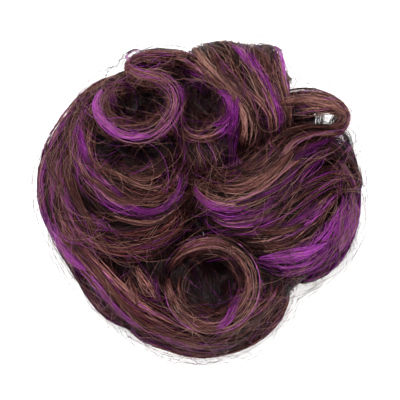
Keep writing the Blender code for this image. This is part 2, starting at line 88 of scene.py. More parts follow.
LOCKS = (
    Lock("crown_curl", (-37, 56, 88), (
        Row(-2, 82, 44, 50, 50), Row(-13, 85, 54, 55, 55), Row(-26, 86, 60, 55, 55),
        Row(-35, 86, 62, 40, 42), Row(-42, 82, 64, 30, 36), Row(-41, 77, 65, 32, 38),
        Row(-35, 73, 66, 44, 46), Row(-26, 72, 68, 70, 60), Row(-18, 67, 69, 76, 62),
        Row(-15, 59, 69, 80, 64), Row(-19, 50, 69, 80, 64), Row(-28, 42, 69, 80, 64),
        Row(-38, 40, 69, 82, 66), Row(-49, 43, 69, 82, 66), Row(-56, 49, 69, 80, 64),
        Row(-59, 57, 68, 76, 60), Row(-55, 64, 66, 66, 52), Row(-48, 67, 62, 50, 40),
    )),
    Lock("lower_curl", (9, -48, 86), (
        Row(-16, -40, 58, 50, 50), Row(-10, -33, 62, 60, 60), Row(0, -29, 66, 66, 65),
        Row(11, -28, 67, 76, 72), Row(21, -32, 67, 84, 78), Row(28, -41, 67, 92, 82),
        Row(30, -51, 66, 98, 85), Row(27, -61, 65, 106, 85), Row(20, -69, 64, 110, 80),
        Row(9, -73, 63, 110, 75), Row(-2, -71, 62, 105, 70), Row(-11, -63, 60, 95, 65),
        Row(-16, -52, 58, 60, 50),
    )),
    Lock("right_loop", (40, 18, 0), (
        Row(36, 53, 42, 60, 50), Row(46, 56, 52, 105, 70), Row(58, 58, 58, 115, 80),
        Row(71, 59, 60, 100, 80), Row(82, 57, 57, 60, 75), Row(88, 51, 54, 42, 70),
        Row(85, 43, 55, 36, 70), Row(76, 40, 58, 42, 70), Row(66, 39, 62, 54, 75),
        Row(56, 35, 68, 75, 80), Row(47, 26, 73, 85, 85), Row(36, 17, 75, 90, 85),
        Row(24, 12, 72, 85, 80), Row(12, 12, 64, 70, 75), Row(3, 16, 52, 45, 60),
    )),
    Lock("top_right_lock", (30, 40, 0), (
        Row(30, 84, 16, 60, 60), Row(31, 90, 30, 130, 80), Row(32, 89, 48, 180, 100),
        Row(35, 82, 62, 170, 105), Row(40, 71, 70, 135, 100), Row(45, 60, 72, 100, 95),
        Row(48, 50, 70, 85, 85), Row(47, 40, 63, 70, 75), Row(43, 32, 54, 45, 60),
    )),
    Lock("top_left_lock", (10, 40, 0), (
        Row(4, 82, 20, 60, 60), Row(5, 91, 34, 120, 80), Row(9, 89, 50, 150, 95),
        Row(16, 80, 61, 140, 100), Row(24, 70, 67, 125, 100), Row(31, 59, 70, 115, 95),
        Row(35, 48, 68, 105, 90), Row(34, 37, 62, 95, 85), Row(29, 27, 54, 60, 60),
    )),
    Lock("right_sweep_upper", (45, 25, 10), (
        Row(-4, 17, 50, 40, 50), Row(-1, 5, 62, 70, 75), Row(9, -3, 70, 95, 90),
        Row(23, -5, 75, 105, 95), Row(37, 1, 76, 105, 95), Row(49, 10, 75, 100, 90),
        Row(60, 20, 71, 90, 85), Row(70, 28, 64, 80, 80), Row(80, 32, 55, 65, 70),
        Row(87, 31, 45, 45, 60),
    )),
    Lock("left_sweep_inner", (-35, 20, 10), (
        Row(-58, 70, 44, 50, 50), Row(-66, 58, 53, 75, 70), Row(-70, 44, 58, 95, 80),
        Row(-72, 30, 62, 110, 85), Row(-68, 17, 66, 120, 90), Row(-57, 6, 70, 130, 95),
        Row(-43, -2, 73, 130, 100), Row(-29, -4, 74, 125, 100), Row(-17, 1, 71, 105, 90),
        Row(-10, 11, 63, 80, 75), Row(-9, 22, 52, 45, 55),
    )),
    Lock("right_sweep_middle", (45, 20, 10), (
        Row(-4, 2, 48, 40, 50), Row(4, -10, 58, 70, 70), Row(17, -16, 65, 100, 85),
        Row(33, -15, 69, 115, 90), Row(49, -7, 70, 115, 90), Row(63, 2, 67, 110, 85),
        Row(76, 10, 61, 100, 80), Row(87, 13, 53, 80, 70), Row(95, 10, 44, 45, 55),
    )),
    Lock("left_sweep_outer", (-40, 10, 10), (
        Row(-82, 44, 38, 50, 50), Row(-81, 30, 46, 80, 70), Row(-80, 15, 51, 95, 80),
        Row(-77, 0, 55, 110, 85), Row(-70, -14, 60, 120, 90), Row(-58, -24, 64, 135, 95),
        Row(-43, -27, 66, 140, 95), Row(-28, -25, 66, 130, 95), Row(-15, -17, 64, 110, 85),
        Row(-7, -5, 58, 80, 75), Row(-6, 6, 48, 45, 55),
    )),
    Lock("right_sweep_lower", (40, 5, 10), (
        Row(10, -20, 48, 40, 50), Row(22, -25, 56, 80, 70), Row(38, -27, 62, 105, 85),
        Row(54, -23, 63, 115, 90), Row(68, -14, 61, 110, 85), Row(79, -3, 55, 95, 75),
        Row(86, 6, 48, 60, 60),
    )),
    Lock("top_curl", (3, 56, 74), (
        Row(-3, 71, 54, 60, 45), Row(8, 70, 58, 85, 52), Row(15, 63, 61, 95, 58),
        Row(17, 54, 62, 95, 60), Row(12, 45, 61, 95, 60), Row(2, 41, 59, 90, 58),
        Row(-6, 44, 57, 75, 50), Row(-8, 52, 54, 50, 42),
    )),
    Lock("left_heart_lock", (-30, 20, 10), (
        Row(-36, 34, 44, 45, 50), Row(-48, 28, 54, 75, 70), Row(-52, 19, 60, 90, 80),
        Row(-44, 11, 64, 100, 85), Row(-32, 9, 66, 105, 85), Row(-21, 13, 63, 95, 80),
        Row(-14, 22, 54, 70, 65), Row(-13, 31, 44, 45, 50),
    )),
    Lock("top_heart_lock", (5, 30, 0), (
        Row(-12, 62, 40, 60, 50), Row(-5, 50, 48, 110, 70), Row(2, 40, 53, 150, 80),
        Row(7, 30, 56, 170, 85), Row(10, 20, 54, 160, 80), Row(9, 11, 46, 110, 65),
        Row(6, 5, 38, 60, 50),
    )),
    Lock("left_shoulder_lock", (-45, 20, -20), (
        Row(-42, 68, 48, 50, 50), Row(-50, 69, 52, 80, 70), Row(-60, 63, 50, 105, 80),
        Row(-70, 53, 46, 115, 85), Row(-79, 41, 41, 115, 85), Row(-86, 28, 37, 115, 85),
        Row(-90, 13, 34, 115, 85), Row(-90, -4, 31, 105, 80), Row(-86, -19, 28, 85, 70),
        Row(-78, -30, 26, 50, 50),
    )),
    Lock("bottom_sweep", (-20, -30, 10), (
        Row(-86, 4, 42, 45, 50), Row(-85, -12, 44, 70, 70), Row(-78, -26, 45, 85, 80),
        Row(-68, -38, 46, 95, 85), Row(-57, -50, 46, 105, 90), Row(-45, -62, 46, 110, 90),
        Row(-31, -72, 46, 115, 90), Row(-15, -79, 45, 120, 90), Row(2, -82, 44, 120, 90),
        Row(19, -80, 42, 115, 90), Row(34, -73, 40, 105, 85), Row(45, -62, 37, 85, 75),
        Row(50, -50, 33, 50, 55),
    )),
    Lock("right_fan", (45, -5, 10), (
        Row(30, -34, 46, 40, 50), Row(42, -37, 50, 90, 70), Row(56, -38, 50, 125, 80),
        Row(69, -33, 48, 130, 85), Row(79, -22, 46, 115, 80), Row(85, -8, 44, 95, 75),
        Row(87, 5, 40, 60, 60),
    )),
    Lock("lower_left_lock", (-20, -30, 0), (
        Row(-44, -30, 38, 60, 50), Row(-44, -42, 44, 115, 75), Row(-40, -54, 46, 130, 85),
        Row(-31, -64, 46, 120, 80), Row(-20, -71, 42, 70, 60),
    )),
    Lock("lower_heart_lock", (-10, -30, 0), (
        Row(-20, -30, 38, 60, 50), Row(-21, -42, 44, 105, 75), Row(-17, -54, 46, 120, 80),
        Row(-8, -65, 44, 105, 75), Row(3, -71, 40, 60, 55),
    )),
    Lock("lower_right_lock", (25, -40, 10), (
        Row(36, -34, 34, 50, 50), Row(43, -43, 38, 95, 75), Row(45, -55, 38, 115, 85),
        Row(39, -66, 37, 110, 80), Row(28, -74, 35, 60, 60),
    )),
    Lock("right_rim_lock", (50, 0, -10), (
        Row(90, 32, 36, 45, 50), Row(92, 18, 36, 80, 65), Row(92, 5, 34, 100, 75),
        Row(91, -9, 31, 110, 80), Row(87, -24, 28, 115, 80), Row(79, -37, 25, 115, 80),
        Row(67, -45, 23, 105, 75), Row(55, -47, 22, 60, 60),
    )),
    Lock("top_right_tuft", (20, 40, 20), (
        Row(38, 84, 20, 50, 50), Row(47, 79, 24, 80, 70), Row(51, 69, 26, 90, 75),
        Row(50, 59, 27, 80, 70), Row(43, 52, 28, 45, 50),
    )),
    Lock("bottom_left_lock", (-30, -20, -20), (
        Row(-89, -12, 20, 45, 50), Row(-83, -25, 21, 80, 70), Row(-75, -37, 22, 95, 80),
        Row(-68, -48, 22, 100, 85), Row(-61, -59, 22, 105, 85), Row(-52, -69, 22, 100, 80),
        Row(-41, -76, 22, 60, 60),
    )),
    Lock("bottom_rim_lock", (0, -35, -15), (
        Row(-46, -73, 20, 45, 50), Row(-34, -82, 21, 85, 70), Row(-18, -87, 22, 105, 80),
        Row(0, -91, 22, 110, 85), Row(18, -88, 22, 110, 85), Row(34, -82, 22, 105, 80),
        Row(47, -70, 22, 95, 75), Row(53, -56, 23, 50, 55),
    )),
)

print("locks:", len(LOCKS))

# %% [markdown]
# ## Where the dye, the painted shadows and the painted shines are
#
# The hair is mostly dark brown and auburn, with bundles dyed purple before they were curled. A
# bundle keeps its dye along its own side of a lock, so a streak is given by the side it lies on
# (-1 to 1 across the lock, at its start and at its end), its half width, the stretch of the way
# that it shows on, and the share of hairs in it that take it. The last two numbers are how purple
# it is and how much lighter or darker it makes the hair, so undyed painted shadows and painted
# shines are streaks as well. The tones are how light a lock's undyed hair is at its start and at
# its end, from near black to light, and how auburn it is.

# %% Table of streaks and tones
Streak = namedtuple("Streak", "side_start side_end half_width way_from way_to share dye tone")

STREAKS = {
    "crown_curl": (
        Streak(-0.20, -0.10, 0.80, 0.66, 0.96, 0.66, 1.0, 0.04),
        Streak(-0.70, -0.60, 0.50, 0.40, 0.66, 0.55, 0.5, 0.18),
        Streak(0.00, 0.00, 1.20, 0.05, 0.32, 0.28, 0.8, 0.05),
    ),
    "lower_curl": (
        Streak(0.60, 0.60, 0.50, 0.00, 0.62, 0.85, 0.0, -0.20),
        Streak(-0.50, -0.50, 0.50, 0.05, 0.26, 0.70, 0.0, 0.16),
        Streak(0.00, 0.00, 1.20, 0.55, 0.70, 0.22, 0.9, 0.00),
    ),
    "right_loop": (
        Streak(0.00, 0.00, 1.20, 0.28, 0.52, 0.60, 0.0, -0.06),
        Streak(0.50, 0.50, 0.40, 0.60, 0.92, 0.60, 0.0, 0.12),
    ),
    "top_right_lock": (
        Streak(-0.55, 0.25, 0.14, 0.10, 1.00, 0.60, 1.0, -0.04),
        Streak(0.90, 0.90, 0.30, 0.12, 0.60, 0.70, 0.9, 0.06),
    ),
    "top_left_lock": (
        Streak(0.80, 0.80, 0.20, 0.10, 0.45, 0.45, 0.9, 0.00),
        Streak(-0.70, -0.70, 0.50, 0.45, 1.00, 0.60, 0.0, -0.12),
    ),
    "right_sweep_upper": (
        Streak(-0.35, -0.45, 0.24, 0.04, 0.40, 0.72, 1.0, 0.10),
        Streak(-0.60, -0.60, 0.30, 0.40, 0.85, 0.70, 1.0, -0.06),
        Streak(0.55, 0.55, 0.35, 0.10, 0.75, 0.60, 0.0, 0.14),
        Streak(0.00, 0.00, 1.20, 0.75, 1.00, 0.50, 0.8, -0.04),
    ),
    "left_sweep_inner": (
        Streak(-0.80, 0.10, 0.20, 0.52, 1.00, 0.75, 1.0, 0.04),
        Streak(0.00, 0.60, 0.34, 0.12, 0.55, 0.55, 0.75, 0.00),
        Streak(0.60, 0.60, 0.30, 0.60, 0.90, 0.60, 0.0, -0.10),
    ),
    "right_sweep_middle": (
        Streak(-0.10, 0.00, 0.20, 0.08, 0.50, 0.70, 1.0, 0.08),
        Streak(-0.80, -0.80, 0.30, 0.10, 0.60, 0.60, 0.0, -0.10),
        Streak(0.60, 0.60, 0.20, 0.70, 1.00, 0.35, 0.9, 0.00),
    ),
    "left_sweep_outer": (
        Streak(-0.30, -0.30, 0.20, 0.22, 0.48, 0.40, 0.8, 0.00),
        Streak(0.70, 0.70, 0.42, 0.25, 0.75, 0.85, 0.0, -0.24),
    ),
    "right_sweep_lower": (
        Streak(0.50, 0.50, 0.20, 0.50, 0.95, 0.50, 0.9, 0.00),
        Streak(-0.80, -0.80, 0.30, 0.50, 1.00, 0.60, 0.9, 0.00),
    ),
    "top_curl": (Streak(0.00, 0.00, 1.20, 0.20, 0.62, 0.75, 1.0, 0.06),),
    "left_heart_lock": (
        Streak(-0.40, -0.40, 0.30, 0.60, 1.00, 0.50, 0.6, 0.15),
    ),
    "top_heart_lock": (Streak(0.75, 0.75, 0.20, 0.30, 1.00, 0.80, 1.0, 0.00),),
    "left_shoulder_lock": (
        Streak(0.00, 0.00, 1.20, 0.30, 0.76, 0.25, 0.85, 0.00),
        Streak(0.70, 0.70, 0.35, 0.50, 0.80, 0.60, 0.35, 0.26),
        Streak(0.00, 0.00, 1.20, 0.78, 1.00, 0.95, 1.0, 0.12),
    ),
    "bottom_sweep": (
        Streak(-0.70, -0.60, 0.26, 0.12, 0.30, 0.70, 1.0, 0.00),
        Streak(-0.80, -0.70, 0.26, 0.30, 0.58, 0.40, 1.0, -0.06),
        Streak(0.80, 0.80, 0.30, 0.20, 0.60, 0.70, 0.0, -0.15),
    ),
    "lower_heart_lock": (Streak(0.50, 0.50, 0.30, 0.10, 0.80, 0.85, 1.0, -0.05),),
    "right_fan": (
        Streak(0.00, 0.00, 1.20, 0.00, 1.00, 0.97, 1.0, 0.12),
        Streak(0.60, 0.60, 0.35, 0.10, 0.70, 0.80, 1.0, 0.20),
    ),
    "right_rim_lock": (Streak(0.00, 0.00, 1.20, 0.15, 1.00, 0.85, 0.9, 0.22),),
    "lower_right_lock": (Streak(0.00, 0.00, 1.20, 0.00, 1.00, 0.15, 0.9, -0.10),),
    "top_right_tuft": (Streak(0.00, 0.00, 1.20, 0.00, 1.00, 0.95, 1.0, 0.30),),
    "bottom_left_lock": (Streak(0.00, 0.00, 1.20, 0.00, 1.00, 0.50, 1.0, -0.04),),
    "bottom_rim_lock": (Streak(0.00, 0.00, 1.20, 0.00, 0.30, 0.40, 0.9, 0.00),),
}
TONES = {
    "crown_curl": (0.62, 0.60, 0.60),
    "lower_curl": (0.58, 0.54, 0.75),
    "right_loop": (0.64, 0.62, 0.45),
    "top_right_lock": (0.60, 0.58, 0.50),
    "top_left_lock": (0.56, 0.59, 0.30),
    "right_sweep_upper": (0.66, 0.53, 0.35),
    "right_sweep_middle": (0.63, 0.52, 0.40),
    "right_sweep_lower": (0.61, 0.49, 0.35),
    "left_sweep_inner": (0.58, 0.53, 0.75),
    "left_sweep_outer": (0.51, 0.48, 0.85),
    "bottom_sweep": (0.56, 0.66, 1.00),
    "bottom_rim_lock": (0.80, 0.86, 1.10),
    "left_shoulder_lock": (0.68, 0.68, 0.90),
    "left_heart_lock": (0.48, 0.48, 0.50),
    "top_heart_lock": (0.56, 0.66, 0.30),
    "lower_heart_lock": (0.36, 0.60, 0.80),
    "lower_left_lock": (0.60, 0.56, 0.70),
    "lower_right_lock": (0.34, 0.40, 0.50),
}
USUAL_TONE = (0.52, 0.52, 0.5)
print("streaks:", sum(len(streaks) for streaks in STREAKS.values()))

# %% [markdown]
# ## The path of a lock
#
# A smooth curve has to pass through every row. A Catmull-Rom spline does that without handles to
# set by hand: each stretch is a cubic whose slope at a row is half the step between its two
# neighbours. It is worked out for all stretches at once, then read again at even distances, so
# that a strand's points are spaced alike in tight and in wide bends.

# %% Spline through a lock's rows
Path = namedtuple("Path", "way centre width thickness along across outward length")
PATH_STEPS = 240


def cubic_through(values, steps):
    """Points on the uniform Catmull-Rom cubic through the rows of an array.

    Between two rows P1 and P2 with neighbours P0 and P3, at share s:
    half of 2 P1 + (P2 - P0) s + (2 P0 - 5 P1 + 4 P2 - P3) s^2 + (3 P1 - P0 - 3 P2 + P3) s^3.
    """
    last = len(values) - 1
    place = np.linspace(0, last, steps)
    index = np.minimum(place.astype(int), last - 1)
    s = (place - index)[:, None]
    p0, p1, p2, p3 = (values[np.clip(index + k, 0, last)] for k in (-1, 0, 1, 2))
    return 0.5 * (
        2 * p1 + (p2 - p0) * s + (2 * p0 - 5 * p1 + 4 * p2 - p3) * s**2
        + (3 * p1 - p0 - 3 * p2 + p3) * s**3
    )


def unit(vectors):
    """Each vector divided by its length."""
    return vectors / np.maximum(np.linalg.norm(vectors, axis=-1, keepdims=True), 1e-12)


def lock_path(lock):
    """A lock's centre line, half width, half thickness and turning frame at even distances.

    outward is the direction from the hub with its part along the line taken off, and across is
    outward x along, so that across points to the left of someone who walks the lock.
    """
    table = np.array(lock.rows, float) / 100
    scale = np.array([HALF_SPREAD, HALF_SPREAD, PILE_HEIGHT, LOCK_WIDTH / 2, LOCK_THICKNESS / 2])
    dense = cubic_through(table * scale, PATH_STEPS * 3)
    gone = np.append(0, np.cumsum(np.linalg.norm(np.diff(dense[:, :3], axis=0), axis=1)))
    way = np.linspace(0, 1, PATH_STEPS)
    even = np.column_stack([np.interp(way * gone[-1], gone, column) for column in dense.T])
    centre = even[:, :3]
    along = unit(np.gradient(centre, axis=0))
    outward = centre - np.array(lock.hub) / 100 * scale[:3]
    outward = unit(outward - along * (outward * along).sum(1, keepdims=True))
    across = np.cross(outward, along)
    return Path(way, centre, even[:, 3], even[:, 4], along, across, outward, gone[-1])


paths = {lock.name: lock_path(lock) for lock in LOCKS}
print("lock lengths (mm):", {name: round(path.length / MM) for name, path in paths.items()})

# %% [markdown]
# ## Places on a lock
#
# A strand's place is given in the lock's own section, with side from -1 to 1 across it and lift
# from -1 to 1 through it, so that it stays on the lock while the lock bends and turns. Past the
# lock's last row it runs straight on, draws together and bends in, which hides the lock's blunt
# end as a real tip is tucked in. A strand's slow wander from its place is a sum of sines.

# %% Wander and place on a lock
END_BEND = 0.055 / MM
END_GATHER = 9 * MM
GATHERED = 0.7


def wander(rng, rows, way, slow=0.6, fast=2.4):
    """For each row a sum of three sines along the way, at random between slow and fast turns.

    way is rows x steps or one row of steps, and the result stays within about -1 to 1.
    """
    turns = rng.uniform(slow, fast, (3, rows, 1))
    start = rng.uniform(0, 2 * math.pi, (3, rows, 1))
    weight = np.array([0.5, 0.3, 0.2])[:, None, None]
    return (weight * np.sin(2 * math.pi * turns * way + start)).sum(0)


def along_path(path, way, values):
    """Values of a path's rows, numbers or vectors, read at given shares of its way."""
    if values.ndim == 1:
        return np.interp(way, path.way, values)
    return np.stack([np.interp(way, path.way, column) for column in values.T], axis=-1)


def on_path(path, way, side, lift):
    """The points at given shares of the way, side across and lift off the lock's middle.

    Point = centre + side x half width x across + lift x half thickness x outward. At a distance d
    past an end it adds d x along and takes off END_BEND x d^2 x outward, and the section is drawn
    in by GATHERED x d / END_GATHER.
    """
    past = (way - np.clip(way, 0, 1)) * path.length
    gather = 1 - GATHERED * np.clip(abs(past) / END_GATHER, 0, 1)
    aside = side * gather * along_path(path, way, path.width)
    above = lift * gather * along_path(path, way, path.thickness) - END_BEND * past**2
    return (
        along_path(path, way, path.centre)
        + past[..., None] * along_path(path, way, path.along)
        + aside[..., None] * along_path(path, way, path.across)
        + above[..., None] * along_path(path, way, path.outward)
    )


halfway = on_path(paths["crown_curl"], np.array([0.5]), 0, 0)
print("crown curl at half its way (mm):", np.round(halfway[0] / MM))

# %% [markdown]
# ## The back loops
#
# Behind the locks the hair goes out from the ring, over the rim and back to the middle in twelve
# broad loops. Seen from the side they are most of what shows. A loop is a wedge: an outline of
# radius and height, swept through its share of the turn round the ring, fullest along its middle.

# %% Tables of the back loops
CLEARANCE = 0.3 * MM
HOLE_RADIUS = 16 * MM
BAND_WIDTH = 8 * MM
BAND_EDGE = 1 * MM
WEFT_WIDTH = 10 * MM
WEFT_HEIGHT = 8 * MM
LOOP_COUNT = 12
LOOP_FLATTENING = 0.10
LOOP_REACH = (97, 75, 91, 70, 62, 78, 87, 87, 92, 98, 95, 95)
LOOP_OUTLINE = np.array([
    (18, 0), (60, 0), (86, 7), (100, 22), (94, 36), (73, 47), (42, 53), (5, 51),
]) / 100
LOOP_WALL_TOP = 0.38 * PILE_HEIGHT
OUTLINE_STEPS = 80


def round_ring(radius, angle, height):
    """Points round the ring: its centre + radius x (cos, sin) of the angle, at a height."""
    x = RING_CENTRE[0] + radius * np.cos(angle)
    y = RING_CENTRE[1] + radius * np.sin(angle)
    return np.stack([x, y, height], axis=-1)


def loop_outline(reach):
    """The smooth (radius, height) line of a loop from under the rim up to the wall of the hole."""
    start = HOLE_RADIUS + (BAND_WIDTH + WEFT_WIDTH) / 2 + CLEARANCE
    radius = start + (reach - start) * LOOP_OUTLINE[:, 0]
    height = LOOP_OUTLINE[:, 1] * PILE_HEIGHT
    wall = HOLE_RADIUS + BAND_EDGE
    corners = np.column_stack([np.append(radius, wall), np.append(height, LOOP_WALL_TOP)])
    line = cubic_through(corners, OUTLINE_STEPS)
    line[:, 1] = np.maximum(line[:, 1], 0)
    return line


def on_loop(index, outline, place, side, swell):
    """Points of a loop: place is the share of the way along its outline, side runs -1 to 1.

    The outline shrinks to its own middle by LOOP_FLATTENING x side^2 and is scaled by swell, then
    is turned to the angle that the side stands for.
    """
    share = np.linspace(0, 1, len(outline))
    radius, height = (np.interp(place, share, outline[:, k]) for k in (0, 1))
    middle = outline.mean(0)
    keep = (1 - LOOP_FLATTENING * side**2) * swell
    radius = middle[0] + (radius - middle[0]) * keep
    height = np.maximum(middle[1] + (height - middle[1]) * keep, 0.1 * MM)
    half_turn = math.pi / LOOP_COUNT - CLEARANCE / (2 * radius)
    angle = 2 * math.pi * index / LOOP_COUNT + side * half_turn
    return round_ring(radius, angle, height)


outlines = [loop_outline(reach / 100 * HALF_SPREAD) for reach in LOOP_REACH]
print("back loops reach out to (mm):", [round(line[:, 0].max() / MM) for line in outlines])

# %% [markdown]
# ## Inside the curls
#
# Looking down into a curl one sees more hair, which winds down into the dark. Each inside is a
# shallow bowl, whose height grows with the square of the distance from its middle. Two more bowls
# close the gaps in the middle of the bun and under the crown curl.

# %% Table and form of the bowls
Bowl = namedtuple("Bowl", "name x y wide tall turn low high strands tone rise_in_tone dyed dye_angle")

# after the arcs' tone comes how much lighter they get towards the rim, as painted shade deeper down
BOWLS = (
    Bowl("crown_curl_inside", -38, 57, 23, 21, 0, 48, 60, 110, 0.34, 0.25, 0.60, 150),
    Bowl("hairpin_inside", -23, 80, 20, 8, 0, 44, 56, 70, 0.36, 0.2, 0.45, 0),
    Bowl("top_curl_inside", 1, 56, 14, 14, 0, 54, 60, 60, 0.36, 0.2, 0.60, 0),
    Bowl("lower_curl_inside", 8, -48, 24, 22, 0, 53, 58, 80, 0.22, 0.4, 0.12, 0),
    Bowl("right_loop_inside", 55, 49, 15, 8, 0, 50, 52, 90, 0.46, 0.0, 0.10, 0),
    Bowl("middle_inside", -10, 26, 9, 14, 0, 40, 46, 60, 0.34, 0.0, 0.10, 0),
    Bowl("below_crown_curl", -44, 29, 26, 12, -8, 50, 54, 90, 0.42, 0.0, 0.25, 0),
)


def on_bowl(bowl, radius, angle, sink=0.0):
    """Points at a radius from 0 to 1 and an angle: height = low + (high - low) x radius^2."""
    turn = math.radians(bowl.turn)
    right, up = bowl.wide * radius * np.cos(angle), bowl.tall * radius * np.sin(angle)
    x = (bowl.x + right * math.cos(turn) - up * math.sin(turn)) / 100 * HALF_SPREAD
    y = (bowl.y + right * math.sin(turn) + up * math.cos(turn)) / 100 * HALF_SPREAD
    z = (bowl.low + (bowl.high - bowl.low) * radius**2) / 100 * PILE_HEIGHT - sink
    return np.stack([x, y, z], axis=-1)


print("bowls:", [bowl.name for bowl in BOWLS])

# %% [markdown]
# ## A map of the top
#
# Loose hairs lie over everything, so they need to know how high the bun is at any place. Points
# all over the locks, loops and bowls are thrown into squares of a millimetre, the highest of each
# is kept, gaps take their neighbours' height, and the whole is smoothed.
#
# The map also tells how deep a strand lies in a pit. Fibres are a little clear, and light that
# goes down between them is lost bit by bit, so hair in a pit is nearly black; that shade is
# painted into the hair's tone. The share of the sky that a point doesn't see is read from the
# map in eight directions. Hair on a crest catches more light, which is painted into its tone as
# well, and crests are where the map stands over a copy of it that is smoothed far more.

# %% Height map
SQUARE = 1 * MM
SQUARES = 90
SKY_TURNS = 8
SKY_REACHES = (2.0 * MM, 4.5 * MM, 8.0 * MM, 13.0 * MM)
CREST_HEIGHT = 6 * MM
RIM_PARTS = 72
RIM_STEP = 360 / RIM_PARTS
RIM_ANGLES = np.arange(RIM_PARTS) * RIM_STEP + RIM_STEP / 2


def shell_points():
    """Points all over the locks, the back loops and the bowls, as one long list."""
    way, turn = np.meshgrid(np.linspace(0, 1, 160), np.linspace(0, 2 * math.pi, 40))
    shells = [on_path(path, way, np.cos(turn), np.sin(turn)) for path in paths.values()]
    place, side = np.meshgrid(np.linspace(0, 1, 80), np.linspace(-1, 1, 24))
    for index, outline in enumerate(outlines):
        shells.append(on_loop(index, outline, place, side, 1.0))
    radius, angle = np.meshgrid(np.linspace(0.02, 1, 24), np.linspace(0, 2 * math.pi, 60))
    shells += [on_bowl(bowl, radius, angle) for bowl in BOWLS]
    return np.concatenate([shell.reshape(-1, 3) for shell in shells])


def height_map(points, grown, smoothed):
    """Highest point over each square, grown into gaps and smoothed as many times as asked."""
    size = 2 * SQUARES + 1
    cell = np.clip(np.round(points[:, :2] / SQUARE).astype(int) + SQUARES, 0, size - 1)
    top = np.zeros((size, size))
    np.maximum.at(top, (cell[:, 0], cell[:, 1]), points[:, 2])
    around = [(dx, dy) for dx in (-1, 0, 1) for dy in (-1, 0, 1)]
    for _ in range(grown):
        top = np.max([np.roll(top, shift, (0, 1)) for shift in around], axis=0)
    for _ in range(smoothed):
        top = np.mean([np.roll(top, shift, (0, 1)) for shift in around], axis=0)
    return top


def height_at(top, x, y):
    """The map's height at any place, straight between the four squares round it."""
    u = np.clip(x / SQUARE + SQUARES, 0, 2 * SQUARES - 1e-6)
    v = np.clip(y / SQUARE + SQUARES, 0, 2 * SQUARES - 1e-6)
    i, j = u.astype(int), v.astype(int)
    u, v = u - i, v - j
    low = top[i, j] * (1 - u) + top[i + 1, j] * u
    high = top[i, j + 1] * (1 - u) + top[i + 1, j + 1] * u
    return low * (1 - v) + high * v


def neighbours(values):
    """For each point of each hair, the values at it and at three points to each side."""
    padded = np.pad(values, ((0, 0), (3, 3)), mode="edge")
    return np.lib.stride_tricks.sliding_window_view(padded, 7, axis=1)


def rested(top, x, y, lift):
    """Height of hairs that rest on the map's highest place within three steps, made smooth."""
    return neighbours(neighbours(height_at(top, x, y)).max(axis=2)).mean(axis=2) + lift


def shut_in(points):
    """0 where a point sees the sky all round, and towards 1 in a pit.

    In each direction it is the sine of the steepest rise of the map over the point, within four
    distances. Points far under the top are the bun's back, which isn't a pit, and get 0.
    """
    x, y, z = points[..., 0], points[..., 1], points[..., 2]
    total = np.zeros_like(x)
    for turn in 2 * math.pi * np.arange(SKY_TURNS) / SKY_TURNS:
        steepest = np.zeros_like(x)
        for reach in SKY_REACHES:
            over = height_at(surface, x + reach * math.cos(turn), y + reach * math.sin(turn)) - z
            steepest = np.maximum(steepest, over / reach)
        total += steepest / np.sqrt(1 + steepest**2) / SKY_TURNS
    depth = height_at(surface, x, y) - z
    return total * np.clip(1.6 - depth / (10 * MM), 0, 1)


def crest(points):
    """1 where the surface is CREST_HEIGHT over the broad map, and -1 where it is that far under."""
    x, y = points[..., 0], points[..., 1]
    return np.clip((height_at(surface, x, y) - height_at(broad, x, y)) / CREST_HEIGHT, -1, 1)


shell = shell_points()
top = height_map(shell, 3, 5)
surface = height_map(shell, 1, 1)
broad = height_map(shell, 1, 60)
centre_distance = np.hypot(shell[:, 0] - RING_CENTRE[0], shell[:, 1] - RING_CENTRE[1])
shell_angle = np.degrees(np.arctan2(shell[:, 1] - RING_CENTRE[1], shell[:, 0] - RING_CENTRE[0]))
rim = np.zeros(RIM_PARTS)
np.maximum.at(rim, (shell_angle // RIM_STEP).astype(int) % RIM_PARTS, centre_distance)
print("highest (mm):", round(top.max() / MM, 1), "rim (mm):", np.round(rim[::6] / MM))

# %% [markdown]
# ## Tubes by the thousand
#
# One strand is a tube of three sides, which is closed, casts a true shadow and costs only six
# triangles a step. With smooth shading it looks round at this size. All the strands of a lock are
# made in one go: their points are an array of strands x steps, the three corners are added as one
# more axis, and the faces follow from counting.

# %% Strands to mesh arrays
SIDES = 3


def perpendiculars(points, guide):
    """Two unit directions square to each strand at each point; the second leans to the guide."""
    along = unit(np.gradient(points, axis=1))
    across = unit(np.cross(guide, along))
    return across, np.cross(along, across)


def tubes(points, radius, guide):
    """Vertices and triangles of closed tubes.

    points is strands x steps x 3, radius is strands x steps, and guide is a direction that isn't
    along a strand. Corner k of a step is the point plus radius times (cos, sin) of k thirds of a
    turn, in the plane square to the strand.
    """
    strands, steps = radius.shape
    across, up = perpendiculars(points, guide)
    turn = 2 * math.pi * np.arange(SIDES) / SIDES + math.pi / 2
    corners = (
        points[:, :, None]
        + (radius[..., None] * np.cos(turn))[..., None] * across[:, :, None]
        + (radius[..., None] * np.sin(turn))[..., None] * up[:, :, None]
    )
    number = np.arange(strands * steps * SIDES).reshape(strands, steps, SIDES)
    here, there = number[:, :-1], number[:, 1:]
    here_next, there_next = np.roll(here, -1, 2), np.roll(there, -1, 2)
    sides = np.stack([here, here_next, there_next, here, there_next, there], -1).reshape(-1, 3)
    ends = np.concatenate([number[:, 0, ::-1], number[:, -1]])
    return corners.reshape(-1, 3), np.concatenate([sides, ends])


# %% [markdown]
# A strand of hair has its own tone and its own dye, and both have to reach the material. They
# travel as attributes, a number stored on each vertex. The UV map holds the distance along the
# strand and a number that differs from strand to strand, which lets the material put fine
# variation along the hair and never across it.

# %% Mesh arrays to an object
Skin = namedtuple("Skin", "verts tris tone dye warm uv")
FLOOR_GAP = 0.4 * MM
OWN_SEED = 50000
# painted shade in the deepest pit, the share of the sky that the rim hides anyway, and painted light on
# a crest, as changes of tone
PIT_PAINTED_SHADE = 0.85
RIM_SHARE = 0.34
CREST_PAINTED_LIGHT = 0.18


